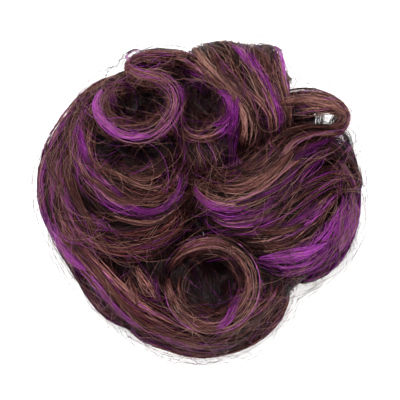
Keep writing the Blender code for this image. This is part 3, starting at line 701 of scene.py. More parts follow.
def strand_skin(points, radius, guide, tone, dye, warm, seed):
    """The tubes of some strands with a tone and a dye per point, and UV along the hair.

    radius, tone and dye are one number, or one for each strand or each point. warm is how auburn
    the hair is on average; each strand differs from it a little. Painted shade lowers the tone,
    by the most in the deepest pit. At the rim a third of the sky is hidden by the bun itself,
    which is no pit, so only what is hidden past RIM_SHARE counts. Where the bun stands over the
    middle height of its surroundings, on a crest or at the rim, painted light raises the tone.
    """
    radius = np.broadcast_to(radius, points.shape[:2])
    # painted shade: the tone drops in pits
    tone = tone - PIT_PAINTED_SHADE * np.clip((shut_in(points) - RIM_SHARE) / (1 - RIM_SHARE), -0.05, 1)
    # painted light: the tone rises on crests and at the rim
    tone = tone + CREST_PAINTED_LIGHT * crest(points)
    points = np.maximum(points, [-np.inf, -np.inf, FLOOR_GAP])
    verts, tris = tubes(points, radius, guide)
    step = np.linalg.norm(np.diff(points, axis=1, prepend=points[:, :1]), axis=2)
    own = np.random.default_rng(seed + OWN_SEED).random((len(points), 1))
    warm = warm + 0.5 * (own * 7 % 1 - 0.5)

    def spread(values):
        """A value for each corner of the tubes, from one per strand or per point."""
        return np.repeat((values + 0 * radius).reshape(-1), SIDES)

    uv = np.column_stack([spread(np.cumsum(step, axis=1)), spread(own)])
    return Skin(verts, tris, spread(tone), spread(dye), spread(warm), uv)


def join(skins):
    """Several skins as one, with the vertex numbers of each shifted past those before it."""
    starts = np.cumsum([0] + [len(skin.verts) for skin in skins[:-1]])
    tris = [skin.tris + start for skin, start in zip(skins, starts)]
    return Skin(
        np.concatenate([skin.verts for skin in skins]),
        np.concatenate(tris),
        *(np.concatenate([skin[k] for skin in skins]) for k in (2, 3, 4, 5)),
    )


def new_object(name, data):
    """An object that holds the data, linked to the scene."""
    thing = bpy.data.objects.new(name, data)
    bpy.context.scene.collection.objects.link(thing)
    return thing


def add_piece(name, skin, material):
    """A mesh object at the origin, with smooth faces, the UV map and the three attributes."""
    mesh = bpy.data.meshes.new(name)
    count = len(skin.tris)
    mesh.vertices.add(len(skin.verts))
    mesh.vertices.foreach_set("co", skin.verts.astype(np.float32).ravel())
    mesh.loops.add(3 * count)
    mesh.loops.foreach_set("vertex_index", skin.tris.astype(np.int32).ravel())
    mesh.polygons.add(count)
    mesh.polygons.foreach_set("loop_start", np.arange(0, 3 * count, 3, dtype=np.int32))
    mesh.update(calc_edges=True)
    for title in ("tone", "dye", "warm"):
        layer = mesh.attributes.new(title, "FLOAT", "POINT")
        layer.data.foreach_set("value", getattr(skin, title).astype(np.float32))
    layer = mesh.uv_layers.new(name="strand")
    layer.data.foreach_set("uv", skin.uv[skin.tris.ravel()].astype(np.float32).ravel())
    mesh.shade_smooth()
    mesh.materials.append(material)
    piece = new_object(name, mesh)
    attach(piece, "root")
    return piece


# %% [markdown]
# ## Writing shader maths
#
# A material is a graph of nodes, and a formula of ten Math nodes is hard to read as a list of
# links. This small class wraps a socket, so that a formula can be written as one: `1 - mask` adds
# the Math node that it needs and gives back its result.

# %% A socket that takes part in sums
class Socket:
    """A node's output that +, - and * can be used on."""

    def __init__(self, tree, socket):
        """Keep the socket and the tree that it is in."""
        self.tree = tree
        self.socket = socket

    def maths(self, operation, first, second=0.0):
        """The result of a new Math node, fed with sockets or numbers."""
        node = self.tree.nodes.new("ShaderNodeMath")
        node.operation = operation
        for place, value in enumerate((first, second)):
            plug(self.tree, node.inputs[place], value)
        return Socket(self.tree, node.outputs[0])

    def __add__(self, other):
        """self + other"""
        return self.maths("ADD", self, other)

    def __radd__(self, other):
        """other + self"""
        return self.maths("ADD", other, self)

    def __sub__(self, other):
        """self - other"""
        return self.maths("SUBTRACT", self, other)

    def __rsub__(self, other):
        """other - self"""
        return self.maths("SUBTRACT", other, self)

    def __mul__(self, other):
        """self x other"""
        return self.maths("MULTIPLY", self, other)

    def __rmul__(self, other):
        """other x self"""
        return self.maths("MULTIPLY", other, self)

    def clamped(self):
        """The value held between 0 and 1."""
        return self.maths("MINIMUM", self.maths("MAXIMUM", self, 0.0), 1.0)


def plug(tree, target, value):
    """Link a socket, or set a number or a colour on the target itself."""
    if isinstance(value, Socket):
        tree.links.new(value.socket, target)
    else:
        target.default_value = value


# %% [markdown]
# Every other node comes from one method: the kind of node, its settings, then what goes into its
# sockets. A ramp's stops are a setting too.

# %% A material and its nodes
ATTRIBUTE_FAC_OUTPUT = 2
OBJECT_COORDINATES_OUTPUT = 3
MIX_COLOUR_INPUTS = (6, 7)
MIX_COLOUR_OUTPUT = 2


class Finish:
    """A Principled material and the one way in which its nodes are added."""

    def __init__(self, name):
        """Make the material with its Principled shader."""
        self.material = bpy.data.materials.new(name)
        self.material.use_nodes = True
        self.tree = self.material.node_tree
        self.shader = self.tree.nodes["Principled BSDF"]

    def add(self, kind, settings=None, output=0, **sockets):
        """A new node with its settings and what goes into its sockets; gives one of its outputs."""
        node = self.tree.nodes.new(kind)
        for title, value in (settings or {}).items():
            if title == "stops":
                self.set_stops(node.color_ramp, value)
            else:
                setattr(node, title, value)
        for title, value in sockets.items():
            plug(self.tree, node.inputs[title.replace("_", " ")], value)
        return Socket(self.tree, node.outputs[output])

    def set_stops(self, ramp, stops):
        """Give a ramp its stops, each a place from 0 to 1 and a colour."""
        while len(ramp.elements) > 1:
            ramp.elements.remove(ramp.elements[0])
        ramp.elements[0].position = stops[0][0]
        ramp.elements[0].color = (*stops[0][1], 1.0)
        for position, colour in stops[1:]:
            ramp.elements.new(position).color = (*colour, 1.0)

    def set(self, **sockets):
        """Set sockets of the Principled shader."""
        for title, value in sockets.items():
            plug(self.tree, self.shader.inputs[title.replace("_", " ")], value)

    def mixed(self, factor, first, second):
        """A colour between two colours."""
        node = self.tree.nodes.new("ShaderNodeMix")
        node.data_type = "RGBA"
        plug(self.tree, node.inputs["Factor"], factor)
        for place, value in zip(MIX_COLOUR_INPUTS, (first, second)):
            plug(self.tree, node.inputs[place], value)
        return Socket(self.tree, node.outputs[MIX_COLOUR_OUTPUT])


# %% [markdown]
# ## The hair's finish
#
# Synthetic hair is a smooth plastic fibre: dark in its body, with a sharp gloss along it. The
# tone attribute, which holds the hair's own tone together with painted shade in pits, deep in the
# locks and at tucked ends, and painted light on crests and the rim, picks the fibre's colour on
# two ramps from near black to light, one brown and one auburn. The warm attribute blends the two,
# and the dye attribute blends the result into a third ramp, purple. Noise read from the strand
# map, with a grain of 17 mm along the hair that differs from one strand to the next, varies the
# shade. The same noise as a bump breaks the gloss into hair-wide lines on the bundles' bodies.

# %% Hair material
BROWNS = (
    (0.00, (0.0016, 0.0008, 0.0007)),
    (0.25, (0.0070, 0.0030, 0.0024)),
    (0.50, (0.0300, 0.0120, 0.0088)),
    (0.72, (0.0900, 0.0380, 0.0280)),
    (0.90, (0.2000, 0.1000, 0.0720)),
    (1.00, (0.3700, 0.2250, 0.1750)),
)
AUBURNS = (
    (0.00, (0.0020, 0.0007, 0.0007)),
    (0.25, (0.0100, 0.0022, 0.0024)),
    (0.50, (0.0450, 0.0090, 0.0088)),
    (0.72, (0.1300, 0.0320, 0.0310)),
    (0.90, (0.2600, 0.0860, 0.0740)),
    (1.00, (0.4300, 0.1950, 0.1700)),
)
PURPLES = (
    (0.00, (0.0060, 0.0006, 0.0064)),
    (0.30, (0.0420, 0.0030, 0.0430)),
    (0.55, (0.1450, 0.0090, 0.1420)),
    (0.80, (0.3000, 0.0240, 0.3100)),
    (1.00, (0.5000, 0.0950, 0.5300)),
)
TONE_GAIN = 1.20
TONE_SHIFT = 0.23
STREAK_CONTRAST = 0.85
PATCH_CONTRAST = 0.35


def hair_material():
    """Colour by three ramps, chosen among by the attributes and varied by noise along the hair."""
    finish = Finish("hair")
    tone, dye, warm = (
        finish.add("ShaderNodeAttribute", {"attribute_name": name}, output=ATTRIBUTE_FAC_OUTPUT)
        for name in ("tone", "dye", "warm")
    )
    uv = finish.add("ShaderNodeUVMap", {"uv_map": "strand"})
    stretched = finish.add("ShaderNodeMapping", Vector=uv, Scale=(60.0, 900.0, 1.0))
    streaks = finish.add("ShaderNodeTexNoise", Vector=stretched, Scale=1.0, Detail=3.0)
    patches = finish.add("ShaderNodeMapping", Vector=uv, Scale=(45.0, 7.0, 1.0))
    patchy = finish.add("ShaderNodeTexNoise", Vector=patches, Scale=1.0, Detail=1.0)
    fine = (streaks - 0.5) * STREAK_CONTRAST
    coarse = (patchy - 0.5) * PATCH_CONTRAST
    shade = (tone * TONE_GAIN - TONE_SHIFT + fine + coarse).clamped()
    brown, auburn, purple = (
        finish.add("ShaderNodeValToRGB", {"stops": stops}, Fac=shade)
        for stops in (BROWNS, AUBURNS, PURPLES)
    )
    undyed = finish.mixed(warm.clamped(), brown, auburn)
    finish.set(
        Base_Color=finish.mixed(dye.clamped(), undyed, purple),
        Roughness=0.30 + streaks * 0.16,
        Specular_IOR_Level=0.14,
        Specular_Tint=(1.0, 0.78, 0.80, 1.0),
        Normal=finish.add("ShaderNodeBump", Strength=0.5, Distance=0.0002, Height=streaks),
    )
    return finish.material


hair = hair_material()
print("hair nodes:", len(hair.node_tree.nodes))

# %% [markdown]
# ## Laying the strands of a lock
#
# Strands placed at random in a lock look like a brush. Real hair runs in clumps: neighbours share
# a slow wander, and each strand adds a little of its own. Which strands are dyed is settled first.

# %% Streaks on the strands
OWN_DRAWS = 0.5
SIDE_EDGE = 0.12
WAY_EDGE = 0.05


def painted(rng, streaks, side, way, clump):
    """How purple each point of each strand is, and how much its tone is changed.

    A strand takes a streak if its draw is under the streak's share. Half of the strands take
    their clump's draw, so dyed hair lies in bunches. Which strands are in the streak is read from
    their side at each point, so it keeps its edge as strands wander.
    """
    dye, painted_light_and_shade = np.zeros_like(side), np.zeros_like(side)
    own = rng.random(len(side))
    shared = rng.random(clump.max() + 1)[clump]
    draw = np.where(rng.random(len(side)) < OWN_DRAWS, own, shared)[:, None]
    for streak in streaks:
        middle = streak.side_start + (streak.side_end - streak.side_start) * way
        amount = np.clip((streak.half_width - abs(side - middle)) / SIDE_EDGE + 0.5, 0, 1)
        if streak.way_from > 0:
            amount = amount * np.clip((way - streak.way_from) / WAY_EDGE + 0.5, 0, 1)
        if streak.way_to < 1:
            amount = amount * np.clip((streak.way_to - way) / WAY_EDGE + 0.5, 0, 1)
        amount = amount * (draw < streak.share)
        dye = np.maximum(dye, amount * streak.dye)
        # a streak's tone is painted shade where it darkens the hair and painted shine where it lightens
        # it
        painted_light_and_shade = painted_light_and_shade + amount * streak.tone
    return dye, painted_light_and_shade


# %% [markdown]
# A lock is made in layers. Most strands are laid along it in clumps. Shorter ones start and stop
# part of the way along, as cut ends do. Crossing strands slide from one side of the lock to the
# other over the top, and strays leave it and come back, thinner and lighter. The last two are
# what makes the bun look like hair that was curled and pinned and not combed.

# %% Layers of a lock
Layer = namedtuple("Layer", "name per_mm radius shortest longest past drift low high tone")

LAYERS = (
    # strands a mm of width, radius mm, share of the way, mm past the ends, slide, lift, tone
    Layer("laid", 11.5, 0.122, 0.80, 1.00, 6.0, 0.30, 0.66, 1.02, 0.00),
    Layer("short", 2.0, 0.110, 0.25, 0.70, 5.0, 0.60, 0.90, 1.06, 0.05),
    Layer("crossing", 1.8, 0.075, 0.25, 0.70, 7.0, 1.80, 1.00, 1.14, 0.12),
    Layer("stray", 0.7, 0.060, 0.30, 0.70, 9.0, 1.20, 1.05, 1.80, 0.15),
)
CLUMP_WIDTH = 1.8 * MM
STRAY_DYE = 0.07
STRAY_DYE_DEPTH = 0.8
UPPER_SHARE = 0.74
CURL_UPPER_SHARE = 0.5
TUCKED_PART = 0.12
CURLS = ("crown_curl", "lower_curl", "top_curl")
STEP_TURN = 0.20
# how far strands keep from their clump's middle, and how much they wander, as shares of the lock
PINCH = 0.72
PINCH_WANDER = 0.24
CLUMP_ASIDE = 0.16
OWN_ASIDE = 0.07
CLUMP_LIFT = 0.13
OWN_LIFT = 0.04
CLUMP_CROWN = 0.10
# how much the tone differs between strands and clumps, and how much painted shade darkens it inside the
# lock and at its ends
OWN_TONE = 0.22
CLUMP_TONE = 0.16
BRIGHT_SHARE = 0.12
BRIGHT_TONE = 0.22
INNER_PAINTED_SHADE = 0.6
TUCKED_PAINTED_SHADE = 0.30
CLUMP_WARM = 0.2
TIP_SHARE = 0.06


def steps_for(path, share):
    """Enough steps that a strand turns STEP_TURN radians in each, within 9 to 38 steps."""
    turned = np.linalg.norm(np.diff(path.along, axis=0), axis=1).sum() * share
    return int(np.clip(turned / STEP_TURN, 9, 38))


def tone_at(lock, way):
    """The lock's tone at a share of its way, straight between its start and its end."""
    start, end, _ = TONES.get(lock.name, USUAL_TONE)
    return start + (end - start) * np.clip(way, 0, 1)


def tucked(way):
    """1 at a lock's ends, where it goes down between the others, and 0 from TUCKED_PART in."""
    return (1 - np.minimum(way, 1 - way) / TUCKED_PART).clip(0, 1)


def clump_wander(rng, clumps, share, clump):
    """One shared wander for all the strands of a clump."""
    return wander(rng, clumps, share)[clump]


def laid_strands(lock, path, layer, seed):
    """The strands of one layer of a lock.

    side = clump's middle + (own side - middle) x pinch + clump's wander + own wander + slide, and
    lift is the layer's lift times sqrt(1 - side^2), higher along the middle of each clump.
    """
    rng = np.random.default_rng(seed)
    width = 2 * path.width.mean()
    count = max(4, round(layer.per_mm * width / MM))
    steps = steps_for(path, layer.longest)
    share = np.linspace(0, 1, steps)
    past = layer.past * MM / path.length
    part = rng.uniform(layer.shortest, layer.longest, (count, 1)) * (1 + 2 * past)
    first = -past + rng.random((count, 1)) * (1 + 2 * past - part)
    way = first + part * share
    clumps = max(4, int(width / CLUMP_WIDTH))
    own = rng.uniform(-1, 1, (count, 1))
    clump = np.clip(((own[:, 0] + 1) / 2 * clumps).astype(int), 0, clumps - 1)
    middle = ((clump + 0.5) / clumps * 2 - 1)[:, None]
    pinch = PINCH + PINCH_WANDER * clump_wander(rng, clumps, share, clump)
    slide = layer.drift * rng.uniform(-0.5, 0.5, (count, 1)) * (2 * share - 1)
    side = middle + (own - middle) * pinch + slide
    shared = CLUMP_ASIDE * clump_wander(rng, clumps, share, clump)
    side += shared + OWN_ASIDE * wander(rng, count, way, 1, 6)
    level = rng.uniform(layer.low, layer.high, (count, 1))
    level = level + OWN_LIFT * wander(rng, count, way, 1, 5)
    level += CLUMP_LIFT * clump_wander(rng, clumps, share, clump)
    level += CLUMP_CROWN * (1 - ((own - middle) * clumps) ** 2)
    upper = CURL_UPPER_SHARE if lock.name in CURLS else UPPER_SHARE
    face = np.where(rng.random((count, 1)) < upper, 1.0, -1.0)
    if layer.name == "stray":
        level = 1 + (level - 1) * np.sin(math.pi * share)
    lift = face * level * np.sqrt(np.clip(1 - side**2, 0.04, 1))
    tone = tone_at(lock, way) + layer.tone + rng.normal(0, OWN_TONE, (count, 1))
    shared = rng.normal(0, CLUMP_TONE, (clumps, 1))[clump]
    tone += shared + BRIGHT_TONE * (rng.random((count, 1)) < BRIGHT_SHARE)
    # painted shade: strands low in the lock and near its tucked ends are darker
    tone -= INNER_PAINTED_SHADE * (1 - level).clip(0) + TUCKED_PAINTED_SHADE * tucked(way)
    dye, painted_light_and_shade = painted(rng, STREAKS.get(lock.name, ()), side, way, clump)
    dye = np.maximum(dye, STRAY_DYE_DEPTH * (rng.random((count, 1)) < STRAY_DYE))
    tip = np.clip(np.minimum(share, 1 - share) / TIP_SHARE, 0.3, 1)
    radius = layer.radius * MM * rng.uniform(0.7, 1.25, (count, 1)) * tip
    points = on_path(path, way, side, lift)
    warm = TONES.get(lock.name, USUAL_TONE)[2] + rng.normal(0, CLUMP_WARM, (clumps, 1))[clump]
    guide = along_path(path, way, path.outward)
    return strand_skin(points, radius, guide, tone + painted_light_and_shade, dye, warm, seed)


# %% [markdown]
# Under the strands a lock needs a body, or one would see through it as through a fringe. It is a
# closed tube a little inside the lock's surface, whose radius is grooved lengthwise. The grooves
# are a few sines round the section that drift along the way, so the body looks combed as well.

# %% Body of one lock
BODY_SHARE = 0.74
# painted shade: the body's tone is lowered for the hair deep in the lock, and lowered more in pits
BODY_PAINTED_SHADE = 0.46
BODY_PIT_PAINTED_SHADE = 0.6
ROUNDING = 13 * MM


def closed_tube(rings):
    """Vertices and triangles of a tube through rings x sides points, with a fan on each end."""
    count, sides = rings.shape[:2]
    number = np.arange(count * sides).reshape(count, sides)
    here, there = number[:-1], number[1:]
    here_next, there_next = np.roll(here, -1, 1), np.roll(there, -1, 1)
    walls = np.stack([here, here_next, there_next, here, there_next, there], -1).reshape(-1, 3)
    pole = np.full(sides, count * sides)
    start_fan = np.stack([pole, np.roll(number[0], -1), number[0]], -1)
    end_fan = np.stack([pole + 1, number[-1], np.roll(number[-1], -1)], -1)
    verts = np.concatenate([rings.reshape(-1, 3), [rings[0].mean(0), rings[-1].mean(0)]])
    return verts, np.concatenate([walls, start_fan, end_fan])


def plain_skin(verts, tris, tone, warm, uv):
    """A skin that has one tone all over and no dye."""
    flat = np.ones(len(verts))
    return Skin(verts, tris, flat * tone, flat * 0, flat * warm, uv)


def lock_body(lock, path, seed, rings=72, sides=36):
    """A grooved lens: its radius is BODY_SHARE x (1 + small sines of the turn and the way).

    Over the last ROUNDING of its length it closes as a half circle does.
    """
    rng = np.random.default_rng(seed)
    way = np.linspace(0, 1, rings)[:, None] + np.zeros((1, sides))
    turn = 2 * math.pi * np.arange(sides)[None] / sides + np.zeros((rings, 1))
    groove = np.zeros_like(way)
    for waves in (5, 8, 13):
        start, drift = rng.uniform(0, 2 * math.pi), rng.uniform(-2.0, 2.0)
        groove += 0.04 * np.sin(waves * turn + start + drift * 2 * math.pi * way)
    to_end = np.clip(np.minimum(way, 1 - way) * path.length / ROUNDING, 0.002, 1)
    reach = BODY_SHARE * (1 + groove) * np.sqrt(1 - (1 - to_end) ** 2)
    points = on_path(path, way, reach * np.cos(turn), reach * np.sin(turn))
    verts, tris = closed_tube(points)
    # painted shade: the body is darker than its strands, and darker still in pits
    tone = np.append(tone_at(lock, way).reshape(-1), [0, 0]) - BODY_PAINTED_SHADE
    tone = tone - BODY_PIT_PAINTED_SHADE * shut_in(verts)
    clump = np.zeros(rings, int)
    dye, _ = painted(rng, STREAKS.get(lock.name, ()), np.cos(turn), way, clump)
    dye = np.append(0.5 * dye.reshape(-1), [0, 0])
    side = np.arcsin(np.clip(np.cos(turn), -1, 1)) / math.pi
    distance = np.append((way * path.length).reshape(-1), [0, path.length])
    uv = np.column_stack([distance, np.append(side.reshape(-1), [0, 0])])
    warm = np.full(len(verts), TONES.get(lock.name, USUAL_TONE)[2])
    return Skin(verts, tris, tone, dye, warm, uv)


# %% Make every lock
triangles = 0
for number, lock in enumerate(LOCKS):
    path = paths[lock.name]
    layers = [
        laid_strands(lock, path, layer, 10 * number + k) for k, layer in enumerate(LAYERS)
    ]
    skin = join([lock_body(lock, path, 10 * number + 9), *layers])
    piece = add_piece(lock.name + "_hair", skin, hair)
    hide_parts(lock.name)
    triangles += len(skin.tris)
print("lock triangles:", triangles)

# %% [markdown]
# ## Hair on the back loops
#
# A loop's strands follow its outline round, and a wedge a little smaller lies under them. The
# loops are most of what shows from the side.

# %% Strands and body of a back loop
HAIR_RADIUS = 0.15 * MM
CLUMPS = 9
LOOP_STRANDS = 150
LOOP_STEPS = 20
LOOP_TONE = 0.30
LOOP_DYED = 0.12
LOOP_SEED = 3000


def loop_strands(index, outline):
    """Strands along a loop's outline, gathered in clumps that wander together."""
    rng = np.random.default_rng(LOOP_SEED + index)
    place = rng.uniform(0, 0.04, (LOOP_STRANDS, 1)) + np.linspace(0, 0.94, LOOP_STEPS)
    own = rng.uniform(-1.05, 1.05, (LOOP_STRANDS, 1))
    clump = np.clip(((own[:, 0] + 1) / 2 * CLUMPS).astype(int), 0, CLUMPS - 1)
    shared = wander(rng, CLUMPS, np.linspace(0, 1, LOOP_STEPS))
    side = own + 0.12 * shared[clump] + 0.06 * wander(rng, LOOP_STRANDS, place, 1, 4)
    swell = rng.uniform(0.95, 1.015, (LOOP_STRANDS, 1)) + 0.02 * shared[clump]
    points = on_loop(index, outline, place, side, swell)
    guide = points - np.array([*RING_CENTRE, outline[:, 1].mean()])
    tone = LOOP_TONE + rng.normal(0, 0.17, (LOOP_STRANDS, 1))
    dye = rng.random((LOOP_STRANDS, 1)) < LOOP_DYED
    radius = HAIR_RADIUS * rng.uniform(0.8, 1.3, (LOOP_STRANDS, 1))
    return strand_skin(points, radius, guide, tone, dye, 0.5, LOOP_SEED + index)


def loop_body(index, outline, rings=20, sides=40):
    """The loop's wedge, closed inside over the weft, a little smaller than its strands."""
    inside = np.array([
        (HOLE_RADIUS + BAND_EDGE, BAND_HEIGHT + WEFT_HEIGHT + 2 * CLEARANCE),
        (outline[0, 0] - 2 * MM, BAND_HEIGHT + WEFT_HEIGHT + 2 * CLEARANCE),
    ])
    outer = outline[np.linspace(0, len(outline) - 1, sides).astype(int)]
    middle = outline.mean(0)
    outer = middle + (outer - middle) * 0.97
    section = np.concatenate([outer, inside])
    side = np.linspace(1, -1, rings)[:, None]
    keep = 1 - LOOP_FLATTENING * side**2
    radius = middle[0] + (section[:, 0] - middle[0]) * keep
    height = np.maximum(middle[1] + (section[:, 1] - middle[1]) * keep, 0.15 * MM)
    angle = 2 * math.pi * index / LOOP_COUNT
    angle = angle + side * (math.pi / LOOP_COUNT - CLEARANCE / (2 * radius))
    verts, tris = closed_tube(round_ring(radius, angle, height))
    way = np.linspace(0, 0.12, section.shape[0])[None] + 0 * radius
    lane = side * 0.15 + 0 * radius
    uv = np.column_stack([np.append(v.reshape(-1), [0, 0]) for v in (way, lane)])
    # painted shade: the wedge under the strands is darker than they are
    return plain_skin(verts, tris, LOOP_TONE - 0.2, 0.5, uv)


# %% Make every back loop
triangles = 0
for index, outline in enumerate(outlines):
    skin = join([loop_body(index, outline), loop_strands(index, outline)])
    name = f"back_loop_{index + 1:02d}"
    piece = add_piece(name + "_hair", skin, hair)
    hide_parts(name)
    triangles += len(skin.tris)
print("back loop triangles:", triangles)

# %% [markdown]
# ## The sewn weft
#
# The roots of the hair are sewn to the band and wound round it. Seen from below it is a cord-like
# ring. It is a ring body with strands that run round its thickness on a slant, each of them most
# of a circle in the ring's section that drifts round the ring as it goes.

# %% Weft ring
WEFT_MIDDLE = HOLE_RADIUS + BAND_WIDTH / 2
WEFT_CENTRE_HEIGHT = BAND_HEIGHT + CLEARANCE + WEFT_HEIGHT / 2
WEFT_SEED = 4000


def on_weft(angle, turn, swell):
    """Point at an angle round the ring and a turn round its section, swell times the section."""
    radius = WEFT_MIDDLE + swell * WEFT_WIDTH / 2 * np.cos(turn)
    height = WEFT_CENTRE_HEIGHT + swell * WEFT_HEIGHT / 2 * np.sin(turn)
    return round_ring(radius, angle, height)


def ring_grid(points):
    """Triangles of a grid that closes on itself both ways, as a ring does."""
    number = np.arange(points.shape[0] * points.shape[1]).reshape(points.shape[:2])
    right, up = np.roll(number, -1, 0), np.roll(number, -1, 1)
    corner = np.roll(right, -1, 1)
    return np.stack([number, right, corner, number, corner, up], -1).reshape(-1, 3)


def grid_uv(u, v):
    """The UV of all points of a grid, each given as a column or a row of numbers."""
    return np.column_stack([value.reshape(-1) for value in np.broadcast_arrays(u, v)])


def weft_skin():
    """The ring's body and the strands wound round it."""
    rng = np.random.default_rng(WEFT_SEED)
    angle = np.linspace(0, 2 * math.pi, 120, endpoint=False)[:, None]
    turn = np.linspace(0, 2 * math.pi, 24, endpoint=False)[None]
    body = on_weft(angle + 0 * turn, turn + 0 * angle, 0.93)
    uv = grid_uv(turn * 0.005, angle * 0.3)
    ring = plain_skin(body.reshape(-1, 3), ring_grid(body), 0.2, 0.5, uv)
    count, steps = 320, 18
    start = np.linspace(0, 2 * math.pi, count, endpoint=False)[:, None]
    share = np.linspace(0, 1, steps)
    turn = -0.6 + 5.6 * share + rng.uniform(-0.3, 0.3, (count, 1))
    angle = start + 0.35 * share + 0.03 * wander(rng, count, share, 1, 3)
    points = on_weft(angle, turn, rng.uniform(0.93, 1.0, (count, 1)))
    guide = points - on_weft(angle, turn, 0.0)
    tone = rng.normal(0.4, 0.15, (count, 1))
    dye = rng.random((count, 1)) < 0.1
    strands = strand_skin(points, 0.9 * HAIR_RADIUS, guide, tone, dye, 0.5, WEFT_SEED)
    return join([ring, strands])


skin = weft_skin()
weft = add_piece("weft_ring_hair", skin, hair)
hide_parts("weft_ring")
print("weft triangles:", len(skin.tris))

# %% [markdown]
# ## The elastic band
#
# The band is a flat knitted elastic. Knitting shows as fine ribs across it, so the band's surface
# is a ring whose rounded section rises and falls a fifth of a millimetre, 84 times round.

# %% Elastic band
BAND_RIBS = 84
RIB_DEPTH = 0.22 * MM


def squared(wave):
    """A sine's or cosine's values pushed out towards -1 and 1, which squares a circle."""
    return np.sign(wave) * abs(wave) ** 0.45


def band_skin():
    """A squared section that is drawn in by RIB_DEPTH x (1 + cos of BAND_RIBS x angle) / 2."""
    angle = np.linspace(0, 2 * math.pi, BAND_RIBS * 6, endpoint=False)[:, None]
    turn = np.linspace(0, 2 * math.pi, 28, endpoint=False)[None]
    rib = RIB_DEPTH * (0.5 + 0.5 * np.cos(BAND_RIBS * angle))
    radius = HOLE_RADIUS + BAND_WIDTH / 2 + (BAND_WIDTH / 2 - rib) * squared(np.cos(turn))
    height = BAND_HEIGHT / 2 + (BAND_HEIGHT / 2 - rib) * squared(np.sin(turn))
    points = round_ring(radius, angle, height)
    uv = grid_uv(angle * 0.02, turn * 0.002)
    return plain_skin(points.reshape(-1, 3), ring_grid(points), 0.0, 0.0, uv)


def elastic_material():
    """Near black knitting: fine grain and broad wear vary the colour, and grain is the bump."""
    finish = Finish("elastic")
    place = finish.add("ShaderNodeTexCoord", output=OBJECT_COORDINATES_OUTPUT)
    grain = finish.add("ShaderNodeTexNoise", Vector=place, Scale=1800.0, Detail=3.0)
    wear = finish.add("ShaderNodeTexNoise", Vector=place, Scale=120.0, Detail=2.0)
    dark, light = (0.008, 0.008, 0.009, 1.0), (0.040, 0.038, 0.042, 1.0)
    finish.set(
        Base_Color=finish.mixed((grain * 0.8 + wear * 0.4 - 0.1).clamped(), dark, light),
        Roughness=0.75 + grain * 0.2,
        Normal=finish.add("ShaderNodeBump", Strength=0.6, Distance=0.0003, Height=grain),
    )
    return finish.material


skin = band_skin()
band = add_piece("elastic_band_knit", skin, elastic_material())
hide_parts("elastic_band")
print("band triangles:", len(skin.tris))

# %% [markdown]
# ## Hair down in the curls
#
# A near black dish, painted shade for the dark deep in the curl, lies under each bowl, and short
# arcs of hair lie in it, darker towards the middle as painted shade. Arcs round one middle would
# look like rings in water, so every arc has a middle of its own near the bowl's.

# %% Dish and strands of each bowl
BOWL_SEED = 6000


def bowl_dish(bowl, sides=40):
    """A closed dish: down its upper face from the rim to the middle, and back along the lower."""
    radius = np.concatenate([np.linspace(0.04, 1.05, 10), np.linspace(1.05, 0.04, 10)])[:, None]
    sink = np.where(np.arange(20) < 10, 0.6, 2.4)[:, None] * MM
    angle = -2 * math.pi * np.arange(sides)[None] / sides
    verts, tris = closed_tube(on_bowl(bowl, radius + 0 * angle, angle + 0 * radius, sink))
    uv = np.column_stack([np.zeros(len(verts)), np.arange(len(verts)) / 997.0])
    # painted shade: the dish's tone is below the ramp's start, so it renders near black
    return plain_skin(verts, tris, -0.2, 0.5, uv)


def bowl_strands(bowl, seed):
    """Arcs of 40 to 130 degrees whose radius wanders, each round a middle of its own."""
    rng = np.random.default_rng(seed)
    count, steps = bowl.strands, 20
    share = np.linspace(0, 1, steps)
    inner = rng.uniform(0.30, 1.05, (count, 1)) ** 0.8
    radius = inner + rng.normal(0, 0.12, (count, 1)) * (2 * share - 1)
    radius = np.clip(radius + 0.04 * wander(rng, count, share, 1, 3), 0.03, 1.15)
    start = rng.uniform(0, 2 * math.pi, (count, 1))
    angle = start + np.radians(rng.uniform(40, 130, (count, 1))) * share
    shift = rng.normal(0, 0.10, (count, 1, 3)) * HALF_SPREAD * bowl.tall / 30
    shift[..., 2] = rng.uniform(-0.6, 1.0, (count, 1)) * MM
    points = on_bowl(bowl, radius, angle) + shift
    points[..., 2] += 1.2 * MM * wander(rng, count, share, 0.5, 1.5)
    tone = bowl.tone + rng.normal(0, 0.15, (count, 1)) + 0.3 * (rng.random((count, 1)) < 0.12)
    # painted shade: arcs nearer the bowl's middle, deeper down, are darker
    tone = tone + bowl.rise_in_tone * (radius - 0.6)
    facing = 0.5 + 0.5 * np.cos(angle - math.radians(bowl.dye_angle))
    dye = rng.random((count, 1)) < bowl.dyed * facing
    thick = 0.13 * MM * rng.uniform(0.6, 1.25, (count, 1))
    return strand_skin(points, thick, UP, tone, dye, 0.4, seed)


for number, bowl in enumerate(BOWLS):
    skin = join([bowl_dish(bowl), bowl_strands(bowl, BOWL_SEED + number)])
    add_piece(bowl.name, skin, hair)
    print(bowl.name, "triangles:", len(skin.tris))

# %% [markdown]
# The long loop at the right isn't empty either: a few bunches cross from its upper side to its
# lower side and leave two small windows. Each bunch is a set of short bowed strands between two
# points, spread a little at both ends.

# %% Bunches across the right loop
Bunch = namedtuple("Bunch", "x_top y_top x_low y_low height spread strands tone")

BUNCHES = (
    Bunch(63, 58, 62, 38, 57, 5.0, 46, 0.40),
    Bunch(73, 57, 72, 39, 58, 2.6, 26, 0.40),
    Bunch(86, 53, 82, 40, 55, 4.0, 46, 0.34),
)
BUNCH_BOW = 2.5 * MM
BUNCH_SEED = 6500


